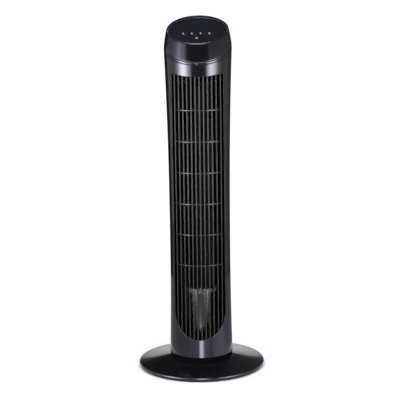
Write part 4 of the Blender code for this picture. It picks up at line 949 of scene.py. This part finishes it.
def wheel_blade(index):
    """A forward-curved blade, thinner towards its outer edge."""
    start = TAU * index / BLADE_COUNT

    def ring(z):
        front, back = [], []
        for part in range(6):
            share = part / 5
            radius = BLADE_INNER + (WHEEL_RADIUS - 0.5 * MM - BLADE_INNER) * share
            angle = start + BLADE_LEAN * share**1.7
            thick = BLADE_HALF_THICKNESS * (1 - 0.4 * share) / radius
            front.append((radius * math.cos(angle + thick), radius * math.sin(angle + thick), z))
            back.append((radius * math.cos(angle - thick), radius * math.sin(angle - thick), z))
        return front + back[::-1]

    return swept([WHEEL_LOW.z + 1 * MM, WHEEL_HIGH.z - 1 * MM], ring)


def make_impeller():
    parts = [wheel_disc(index) for index in range(WHEEL_SEGMENTS + 1)]
    parts += [wheel_blade(index) for index in range(BLADE_COUNT)]
    # Painted shade: the blades and discs are darker and almost without gloss, so the inside behind the grille
    # stays dark.
    dull = moulded_satin("blade_shade_finish", (0.0015, 0.0015, 0.0016), 0.5, specular=0.05, wear=0.02)
    add_piece("blade_wheel", join(parts), "impeller", "satin_black", ["impeller"], sharp=30, finish=dull)


def motor_rib(index):
    """An upright half-round rib on the motor's housing, fading out below its top."""
    centre = TAU * (index + 0.25) / MOTOR_RIBS
    foot, top = MOTOR_LOW.z + 1 * MM, MOTOR_HIGH.z - 5 * MM

    def ring(z):
        out = 1.5 * MM * (0.15 if z == top else 1.0)
        spots = []
        for step in range(7):
            turn = math.pi * step / 6
            angle = centre + 1.1 * MM / MOTOR_RADIUS * math.cos(turn)
            reach = MOTOR_RADIUS - 0.3 * MM + out * math.sin(turn)
            spots.append((reach * math.cos(angle), reach * math.sin(angle), z))
        return spots

    return swept([foot, foot + 1 * MM, 0.1, 0.13, top - 2 * MM, top], ring)


def make_motor_housing():
    inner, under = MOTOR_RADIUS - CASTING_WALL, MOTOR_HIGH.z - CASTING_WALL
    outline = [
        (MOTOR_RADIUS, MOTOR_HIGH.z),
        (MOTOR_RADIUS, MOTOR_LOW.z),
        (inner, MOTOR_LOW.z),
        (inner, under),
        (MOTOR_HOLE_RADIUS, under),
        (MOTOR_HOLE_RADIUS, MOTOR_HIGH.z),
    ]
    parts = [turned(rounded(outline, 0.8 * MM), 128)]
    parts += [motor_rib(index) for index in range(MOTOR_RIBS)]
    dark = cast_alloy("motor_finish", 0.045, 0.28)
    add_piece("motor_housing", join(parts), "tower", "matt_black", ["motor_cover"], sharp=40, finish=dark)


def ring_tooth(index):
    """One of the blocks round the motor's ring."""
    start = TAU * index / RING_TEETH
    end = start + 0.55 * TAU / RING_TEETH
    reach, root = RING_RADIUS - 0.02 * MM, RING_ROOT - 0.3 * MM

    def ring(z):
        spots = []
        for step in range(5):
            angle = start + (end - start) * step / 4
            spots.append((reach * math.cos(angle), reach * math.sin(angle), z))
        for angle in (end, start):
            spots.append((root * math.cos(angle), root * math.sin(angle), z))
        return spots

    return swept([RING_LOW.z + 0.05 * MM, RING_HIGH.z - 0.05 * MM], ring)


def make_motor_ring():
    inner, floor = RING_ROOT - CASTING_WALL, RING_LOW.z + CASTING_WALL
    outline = [
        (RING_ROOT, RING_HIGH.z),
        (RING_ROOT, RING_LOW.z),
        (MOTOR_HOLE_RADIUS, RING_LOW.z),
        (MOTOR_HOLE_RADIUS, floor),
        (inner, floor),
        (inner, RING_HIGH.z),
    ]
    parts = [turned(rounded(outline, 0.4 * MM), 128)]
    parts += [ring_tooth(index) for index in range(RING_TEETH)]
    pale = cast_alloy("motor_ring_finish", 0.12, 0.34)
    add_piece(
        "motor_ring", join(parts), "tower", "matt_black", ["motor_mount_ring"],
        sharp=40, bevel=(0.6 * MM, 3, 50), finish=pale,
    )


# ---------------------------------------------------------------- cap, trim and panel
def make_trim():
    """The ring between the tower and the cap, and the small window in its front."""
    low, high, inner = SEAM_Z + TRIM_GAP, SEAM_Z + TRIM_GAP + TRIM_HEIGHT, TRIM_RADIUS - TRIM_DEPTH
    outline = [
        (TRIM_RADIUS, high, SEAM_SLOPE),
        (TRIM_RADIUS, low, SEAM_SLOPE),
        (inner, low, SEAM_SLOPE),
        (inner, high, SEAM_SLOPE),
    ]
    ring = turned(rounded(outline, 0.9 * MM, 4))
    trim = add_piece("seam_trim", ring, "tower", "gloss_black", ["trim_ring"])
    ir_low, ir_high = box("ir_window")
    middle = (ir_low.z + ir_high.z) / 2
    cut(trim, oval_plug(middle, 2.7 * MM, 1.6 * MM, -8 * MM, 3 * MM))
    smooth_again(trim)
    lens = oval_plug(middle, 2.4 * MM, 1.3 * MM, -3 * MM, 0.2 * MM)
    add_piece("ir_lens", lens, "tower", "smoked_lens", ["ir_window"], bevel=(0.25 * MM, 3, 40))


def cap_wall():
    """The cap's outer wall from the seam up to its rim, a little bulged."""
    wall = [
        (CAP_RADIUS - 0.5 * MM, CAP_LOW_Z, SEAM_SLOPE),
        (CAP_RADIUS - 0.12 * MM, CAP_LOW_Z + 0.18 * MM, SEAM_SLOPE),
        (CAP_RADIUS, CAP_LOW_Z + 0.6 * MM, SEAM_SLOPE),
    ]
    steps = 16
    for step in range(1, steps + 1):
        share = step / steps
        radius = CAP_RADIUS + (RIM_RADIUS - CAP_RADIUS) * share + CAP_BULGE * math.sin(math.pi * share)
        z = CAP_LOW_Z + (RIM_Z - 1.4 * MM - CAP_LOW_Z) * share
        wall.append((radius, z, SEAM_SLOPE + (RIM_SLOPE - SEAM_SLOPE) * share))
    return wall


def make_cap():
    ledge, ledge_inner = PANEL_Z - PANEL_THICKNESS - 0.3 * MM, LIP_INNER - 4 * MM
    rim = [
        (RIM_RADIUS - 0.15 * MM, RIM_Z - 0.8 * MM, RIM_SLOPE),
        (RIM_RADIUS - 0.45 * MM, RIM_Z - 0.3 * MM, RIM_SLOPE),
        (RIM_RADIUS - 0.95 * MM, RIM_Z, RIM_SLOPE),
        (LIP_INNER + 0.5 * MM, RIM_Z, RIM_SLOPE),
        (LIP_INNER + 0.12 * MM, RIM_Z - 0.15 * MM, RIM_SLOPE),
        (LIP_INNER, RIM_Z - 0.5 * MM, RIM_SLOPE),
        (LIP_INNER, ledge, PANEL_SLOPE),
        (ledge_inner, ledge, PANEL_SLOPE),
        (ledge_inner, ledge - 2 * MM, PANEL_SLOPE),
        (RIM_RADIUS - CAP_WALL, ledge - 3 * MM, PANEL_SLOPE),
        (CAP_RADIUS - CAP_WALL, CAP_LOW_Z, SEAM_SLOPE),
    ]
    casing = turned(cap_wall() + rim)
    even_normals(add_piece("cap_casing", casing, "tower", "gloss_black", ["top_cap"], sharp=38))


def make_lip_shade():
    """A near-black soft strip with almost no gloss that lines the lip round the panel: painted shade on the
    lip's inner wall.
    """
    outer = LIP_INNER - 0.05 * MM
    inner = outer - 0.2 * MM
    top, foot = RIM_Z - 0.45 * MM, PANEL_Z + 0.1 * MM
    outline = [
        (outer, top, RIM_SLOPE),
        (outer, foot, PANEL_SLOPE),
        (inner, foot, PANEL_SLOPE),
        (inner, top, RIM_SLOPE),
    ]
    # Near black and almost without gloss: painted shade.
    dull = rubber("lip_shade_finish", 0.002, 0.01)
    add_piece("lip_shade_strip", turned(outline), "tower", "rubber_black", finish=dull)


def oval_plug(z, half_width, half_height, low, high):
    """An oval plug through the front of the trim ring, from low to high measured outwards."""
    bm = turned([(1, high), (1, low), (0, low), (0, high)], 40)
    bmesh.ops.scale(bm, vec=(half_width, half_height, 1), verts=bm.verts)
    bm.transform(Matrix.Rotation(math.pi / 2, 4, "X"))
    bm.transform(Matrix.Translation((0, -TRIM_RADIUS, z)))
    return bm


def on_panel(bm, x, y):
    """Moves a mesh made at the origin to a place on the tilted panel."""
    bm.transform(PANEL_FRAME @ Matrix.Translation((x, y, 0)))
    return bm


def plate_with_holes(walls):
    """A flat plate from its walls. Each wall is a list of rings from the top face down to the bottom face."""
    bm = bmesh.new()
    tops, bottoms = [], []
    for rings in walls:
        corners = [[bm.verts.new(spot) for spot in ring] for ring in rings]
        count = len(rings[0])
        for here, there in zip(corners, corners[1:]):
            for index in range(count):
                after = (index + 1) % count
                bm.faces.new([here[index], here[after], there[after], there[index]])
        for ring, edges in ((corners[0], tops), (corners[-1], bottoms)):
            edges += [bm.edges.get((ring[index], ring[(index + 1) % count])) for index in range(count)]
    for edges in (tops, bottoms):
        bmesh.ops.triangle_fill(bm, edges=edges, use_beauty=True)
    bmesh.ops.recalc_face_normals(bm, faces=bm.faces)
    return bm


def crescent(x, y, radius, height, width):
    """A thin pale crescent on the left of a key, thickest in the middle: a painted highlight where the rim
    catches the light.
    """

    def ring(turn):
        half = width / 2 * abs(math.cos(turn)) + 0.05 * MM
        spots = []
        for reach, z in ((-half, 0.02 * MM), (half, 0.02 * MM), (half, -0.3 * MM), (-half, -0.3 * MM)):
            spots.append(((radius + reach) * math.cos(turn), (radius + reach) * math.sin(turn), height + z))
        return spots

    turns = [math.pi * (0.55 + 0.9 * step / 24) for step in range(25)]
    return on_panel(swept(turns, ring), x, y)


def button_places():
    return [((index - (BUTTON_COUNT - 1) / 2) * BUTTON_PITCH, BUTTON_ROW) for index in range(BUTTON_COUNT)]


def panel_edge():
    """The panel's round wall, with a small rounding at the top."""
    rings = []
    for inset, drop in ((0.3 * MM, 0), (0.09 * MM, 0.09 * MM), (0, 0.3 * MM), (0, PANEL_THICKNESS)):
        radius, ring = PANEL_RADIUS - inset, []
        for step in range(ROUND_STEPS):
            angle = TAU * step / ROUND_STEPS
            y = radius * math.sin(angle)
            ring.append((radius * math.cos(angle), y, PANEL_Z - drop + PANEL_SLOPE * y))
        rings.append(ring)
    return rings


def panel_hole(x, y, radius):
    """A round hole's wall, square to the panel and wider at the top."""
    rings, steps = [], 48
    depth = PANEL_THICKNESS * math.cos(PANEL_ANGLE)
    for spare, drop in ((0.6 * MM, 0), (0.3 * MM, 0.3 * MM), (0.3 * MM, depth)):
        reach, ring = radius + spare, []
        for step in range(steps):
            turn = TAU * step / steps
            ring.append(PANEL_FRAME @ Vector((x + reach * math.cos(turn), y + reach * math.sin(turn), -drop)))
        rings.append(ring)
    return rings


def make_panel():
    walls = [panel_edge()]
    walls += [panel_hole(x, y, BUTTON_RADIUS) for x, y in button_places()]
    walls.append(panel_hole(0, LENS_ROW, LENS_RADIUS))
    face = add_piece("panel_face", plate_with_holes(walls), "tower", "panel_black", ["control_panel"])
    for polygon in face.data.polygons:
        polygon.use_smooth = polygon.normal.z < 0.9


def make_edge_line():
    """The light line that stands just above the panel's edge."""
    low = PANEL_Z + 0.3 * MM
    high, inner = low + LINE_HEIGHT, PANEL_RADIUS - LINE_WIDTH
    outline = [
        (PANEL_RADIUS, high, PANEL_SLOPE),
        (PANEL_RADIUS, low, PANEL_SLOPE),
        (inner, low, PANEL_SLOPE),
        (inner, high, PANEL_SLOPE),
    ]
    add_piece("edge_line", turned(rounded(outline, 0.25 * MM)), "tower", "line_grey", ["panel_line"])


def make_status_window(mark_finish):
    foot = -PANEL_THICKNESS
    outline = [(LENS_RADIUS, LENS_PROUD), (LENS_RADIUS, foot), (0, foot), (0, LENS_PROUD)]
    lens = on_panel(turned(rounded(outline, 0.6 * MM), 48), 0, LENS_ROW)
    add_piece("status_window", lens, "tower", "smoked_lens", ["status_lens"])
    # A pale crescent on the window's left: a painted highlight.
    mark = crescent(0, LENS_ROW, 1.5 * MM, LENS_PROUD + 0.04 * MM, 2.6 * MM)
    add_piece("lens_mark", mark, "tower", "line_grey", finish=mark_finish)


def key_outline():
    """A dished key with a raised rounded lip, a flange below the panel and a stem."""
    flange, skirt, stem = BUTTON_RADIUS + 1.2 * MM, -3.1 * MM, -6.3 * MM
    outline = [(0, 0.35 * MM)]
    for step in range(1, 9):
        share = step / 8
        outline.append((BUTTON_RADIUS * 0.78 * share, (0.35 + 0.30 * share**2) * MM))
    for share, height in ((0.84, 0.82), (0.89, 0.9), (0.95, 0.82), (0.99, 0.6), (1, 0.3)):
        outline.append((BUTTON_RADIUS * share, height * MM))
    outline += [
        (BUTTON_RADIUS, skirt),
        (flange, skirt),
        (flange, skirt - 1 * MM),
        (STEM_RADIUS, skirt - 1 * MM),
        (STEM_RADIUS, stem),
        (0, stem),
    ]
    return outline


def make_keys(mark_finish):
    for index, (x, y) in enumerate(button_places(), 1):
        body = f"button_{index}"
        # A pale crescent on each key's left: a painted highlight on its lit rim.
        mark = crescent(x, y, 3.0 * MM, 0.84 * MM, 2.3 * MM)
        add_piece(f"key_mark_{index}", mark, body, "line_grey", finish=mark_finish)
        cap = on_panel(turned(key_outline(), 64), x, y)
        add_piece(f"key_cap_{index}", cap, body, "gloss_black", [body])


# ---------------------------------------------------------------- CAD nodes that show as they are
def finish_nodes():
    """Every CAD node gets the finish of its own material slot; the glide ring then gets the matt one, and the
    parts inside the tower a darker one with almost no gloss, as painted shade.
    """
    for part in frame["record"]["subparts"]:
        node = frame["nodes"][part["node"]]
        node.data.materials.clear()
        node.data.materials.append(FINISHES[part["material_slot"]])
    frame["nodes"]["glide_ring"].data.materials[0] = FINISHES["matt_black"]
    # Painted shade: the parts inside the tower are darker and almost without gloss, so the inside behind the
    # grille reads dark.
    inside_shade = moulded_satin("inside_shade_finish", (0.0015, 0.0015, 0.0016), 0.5, specular=0.05, wear=0.02)
    for node in ("air_scroll", "air_tongue", "tower_floor", "upper_bulkhead"):
        frame["nodes"][node].data.materials[0] = inside_shade


# ---------------------------------------------------------------- stage, lights and camera
SWEEP_RADIUS = 3.2
SWEEP_BEND = 0.35
SWEEP_HEIGHT = 0.86
SWEEP_STEPS = 96
WALL_GLOW = 0.16
CARD_DISTANCE = 1.6
CARD_TOP = 0.8

# What the gloss sees round the fan: (azimuth from the front in degrees, radiance), joined by straight lines.
SIDE_LIGHT = (
    (-125, 0.6), (-85, 1.2), (-71, 5), (-54, 27), (-45, 27), (-30, 8), (-18, 0.3),
    (24, 0.3), (30, 2.5), (38, 14), (47, 22), (57, 17), (73, 3), (88, 0.8), (125, 0.5),
)
UPPER_LIGHT = (
    (-125, 0.3), (-97, 0.85), (-77, 2), (-62, 5.6), (-52, 3.4), (-44, 3.2), (-37, 1), (-32, 0.15),
    (34, 0.15), (38, 0.8), (95, 0.75), (110, 0.4), (125, 0.3),
)
FLOOR_LIGHT = (
    (-180, 0.1), (-128, 0.4), (-90, 0.6), (-45, 0.95), (-10, 1.6), (12, 2.2), (32, 0.9),
    (50, 1.9), (74, 1.9), (100, 0.7), (130, 0.35), (180, 0.1),
)
CENTRE_STRIP = ((-7, 0), (-3, 7), (1, 18), (6, 13), (12, 0))
LEFT_BACK = ((-180, 0.05), (-130, 0.01), (-119, 0.02))
RIGHT_BACK = ((114, 0.4), (132, 0.11), (180, 0.05))
WARM, COOL = (1.03, 1.01, 1.0), (0.94, 0.93, 1.0)


def show(name, bm, mat):
    """A stage piece: the sweep or a card. It isn't part of the fan."""
    mesh = bpy.data.meshes.new(name)
    bm.to_mesh(mesh)
    bm.free()
    mesh.shade_smooth()
    mesh.materials.append(mat)
    obj = bpy.data.objects.new(name, mesh)
    bpy.context.collection.objects.link(obj)
    return obj


def make_stage():
    """A pale round sweep: a floor that turns up into a low wall all round."""
    section = [(0.6, 0.0), (SWEEP_RADIUS - SWEEP_BEND, 0.0)]
    for step in range(1, 13):
        angle = math.pi / 2 * step / 12
        out = SWEEP_RADIUS - SWEEP_BEND + SWEEP_BEND * math.sin(angle)
        section.append((out, SWEEP_BEND - SWEEP_BEND * math.cos(angle)))
    section.append((SWEEP_RADIUS, SWEEP_HEIGHT))
    bm = bmesh.new()
    centre = bm.verts.new((0, 0, 0))
    rings = []
    for radius, z in section:
        ring = []
        for step in range(SWEEP_STEPS):
            angle = TAU * step / SWEEP_STEPS
            ring.append(bm.verts.new((radius * math.cos(angle), radius * math.sin(angle), z)))
        rings.append(ring)
    for step in range(SWEEP_STEPS):
        after = (step + 1) % SWEEP_STEPS
        bm.faces.new([centre, rings[0][step], rings[0][after]])
        for here, there in zip(rings, rings[1:]):
            bm.faces.new([here[step], there[step], there[after], here[after]])
    paper = Finish("pale_paper", 0.8, specular=0.2)
    grain = paper.noise(300.0, 3.0)
    paper.set("Base Color", paper.mix(grain, rgb(0.80, 0.80, 0.81), rgb(0.83, 0.83, 0.84)))
    height = paper.add("ShaderNodeSeparateXYZ", None, {0: paper.place}, "Z")
    lift = height.between(0.02, 0.30, 0.0, WALL_GLOW)
    paper.set("Emission Color", paper.mix(lift, rgb(0.0, 0.0, 0.0), rgb(1.0, 1.0, 1.0)))
    paper.set("Emission Strength", 1.0)
    show("sweep", bm, paper.mat)


def standing(azimuth, distance, height):
    """A place at an azimuth from the front."""
    angle = math.radians(azimuth)
    return (distance * math.sin(angle), -distance * math.cos(angle), height)


def glow_card(name, light, near, far, tint=COOL):
    """A curved card whose glow changes with azimuth, between two edges given as (distance, height).

    Only the gloss sees it, and it hides what is behind.
    """
    bm = bmesh.new()
    corners = []
    for azimuth in spread([azimuth for azimuth, _ in light], 3):
        corners.append([bm.verts.new(standing(azimuth, *edge)) for edge in (near, far)])
    for here, there in zip(corners, corners[1:]):
        bm.faces.new([here[0], there[0], there[1], here[1]])
    card = Finish(name, 0.9, specular=0.0)
    card.set("Base Color", rgb(0.0, 0.0, 0.0))
    x = card.add("ShaderNodeSeparateXYZ", None, {0: card.place}, "X")
    y = card.add("ShaderNodeSeparateXYZ", None, {0: card.place}, "Y")
    azimuth = x.math("ARCTAN2", y * -1.0) * math.degrees(1)
    glow = light[0][1]
    for (low, before), (high, after) in zip(light, light[1:]):
        if before != after:
            glow = glow + azimuth.between(low, high, 0.0, after - before)
    colour = card.add("ShaderNodeVectorMath", {"operation": "SCALE"}, {0: tint, "Scale": glow})
    card.set("Emission Color", colour)
    card.set("Emission Strength", 1.0)
    piece = show(name, bm, card.mat)
    piece.visible_camera = False
    piece.visible_diffuse = False
    piece.visible_shadow = False
    piece.visible_transmission = False


def emitter(name, place, target, size, power):
    """A lamp with a rectangular face turned to a point. The camera doesn't see it."""
    lamp = bpy.data.lights.new(name, "AREA")
    lamp.shape = "RECTANGLE"
    lamp.size, lamp.size_y = size
    lamp.energy = power
    obj = bpy.data.objects.new(name, lamp)
    bpy.context.collection.objects.link(obj)
    obj.location = place
    obj.rotation_euler = (Vector(target) - Vector(place)).to_track_quat("-Z", "Y").to_euler()
    obj.visible_camera = False
    return obj


def make_studio_air():
    """White behind the fan, and a dim cool fill for everything else."""
    world = bpy.data.worlds.new("studio")
    world.use_nodes = True
    tree = world.node_tree
    dim = tree.nodes["Background"]
    dim.inputs["Color"].default_value = rgb(0.80, 0.86, 1.0)
    dim.inputs["Strength"].default_value = 0.13
    white = tree.nodes.new("ShaderNodeBackground")
    white.inputs["Color"].default_value = rgb(1.0, 1.0, 1.0)
    white.inputs["Strength"].default_value = 1.0
    path = tree.nodes.new("ShaderNodeLightPath")
    both = tree.nodes.new("ShaderNodeMixShader")
    tree.links.new(path.outputs["Is Camera Ray"], both.inputs[0])
    tree.links.new(dim.outputs[0], both.inputs[1])
    tree.links.new(white.outputs[0], both.inputs[2])
    tree.links.new(both.outputs[0], tree.nodes["World Output"].inputs["Surface"])
    bpy.context.scene.world = world
    bpy.context.scene.view_settings.view_transform = "Standard"


def make_lights():
    overhead = emitter("overhead", (0, 0, 3.4), (0, 0, 0), (7, 7), 330)
    overhead.visible_glossy = False
    top_box = emitter("top_box", (0, -1.0, 2.4), (0, 0, 0.4), (1.3, 1.0), 90)
    top_box.visible_diffuse = False
    glow_card("side_light", SIDE_LIGHT, (CARD_DISTANCE, 0.004), (CARD_DISTANCE, CARD_TOP), WARM)
    glow_card("upper_light", UPPER_LIGHT, (CARD_DISTANCE, CARD_TOP), (CARD_DISTANCE, CARD_TOP + 0.5))
    glow_card("floor_light", FLOOR_LIGHT, (0.18, 0.003), (CARD_DISTANCE, 0.003))
    glow_card("centre_strip", CENTRE_STRIP, (0.17, 0.001), (0.17, 0.045))
    glow_card("left_back", LEFT_BACK, (0.35, 0.12), (0.35, 0.82))
    glow_card("right_back", RIGHT_BACK, (0.35, 0.12), (0.35, 0.82))


def make_camera():
    """A long lens from in front, a little above the top, tipped down to take in the base."""
    azimuth, pitch, roll = 2.3, 10.13, 0.73
    camera = bpy.data.cameras.new("camera")
    camera.lens = 108.86
    camera.sensor_width = 36
    camera.shift_x = 0.00085
    obj = bpy.data.objects.new("camera", camera)
    bpy.context.collection.objects.link(obj)
    place = Matrix.Translation(standing(azimuth, 2.523, 0.809))
    aim = Matrix.Rotation(math.radians(azimuth), 4, "Z") @ Matrix.Rotation(math.radians(90 - pitch), 4, "X")
    obj.matrix_world = place @ aim @ Matrix.Rotation(math.radians(-roll), 4, "Z")
    bpy.context.scene.camera = obj


make_camera()
make_stage()
make_studio_air()
make_lights()
finish_nodes()
make_base()
make_shadow_ring()
make_front_shell()
make_rear_shell()
make_intake_screen()
make_grille()
make_impeller()
make_motor_housing()
make_motor_ring()
make_trim()
make_cap()
make_lip_shade()
make_panel()
make_edge_line()
# One pale paint for the painted highlights on the keys and the status window.
highlight_paint = painted_highlight_mark("key_mark_finish")
make_status_window(highlight_paint)
make_keys(highlight_paint)
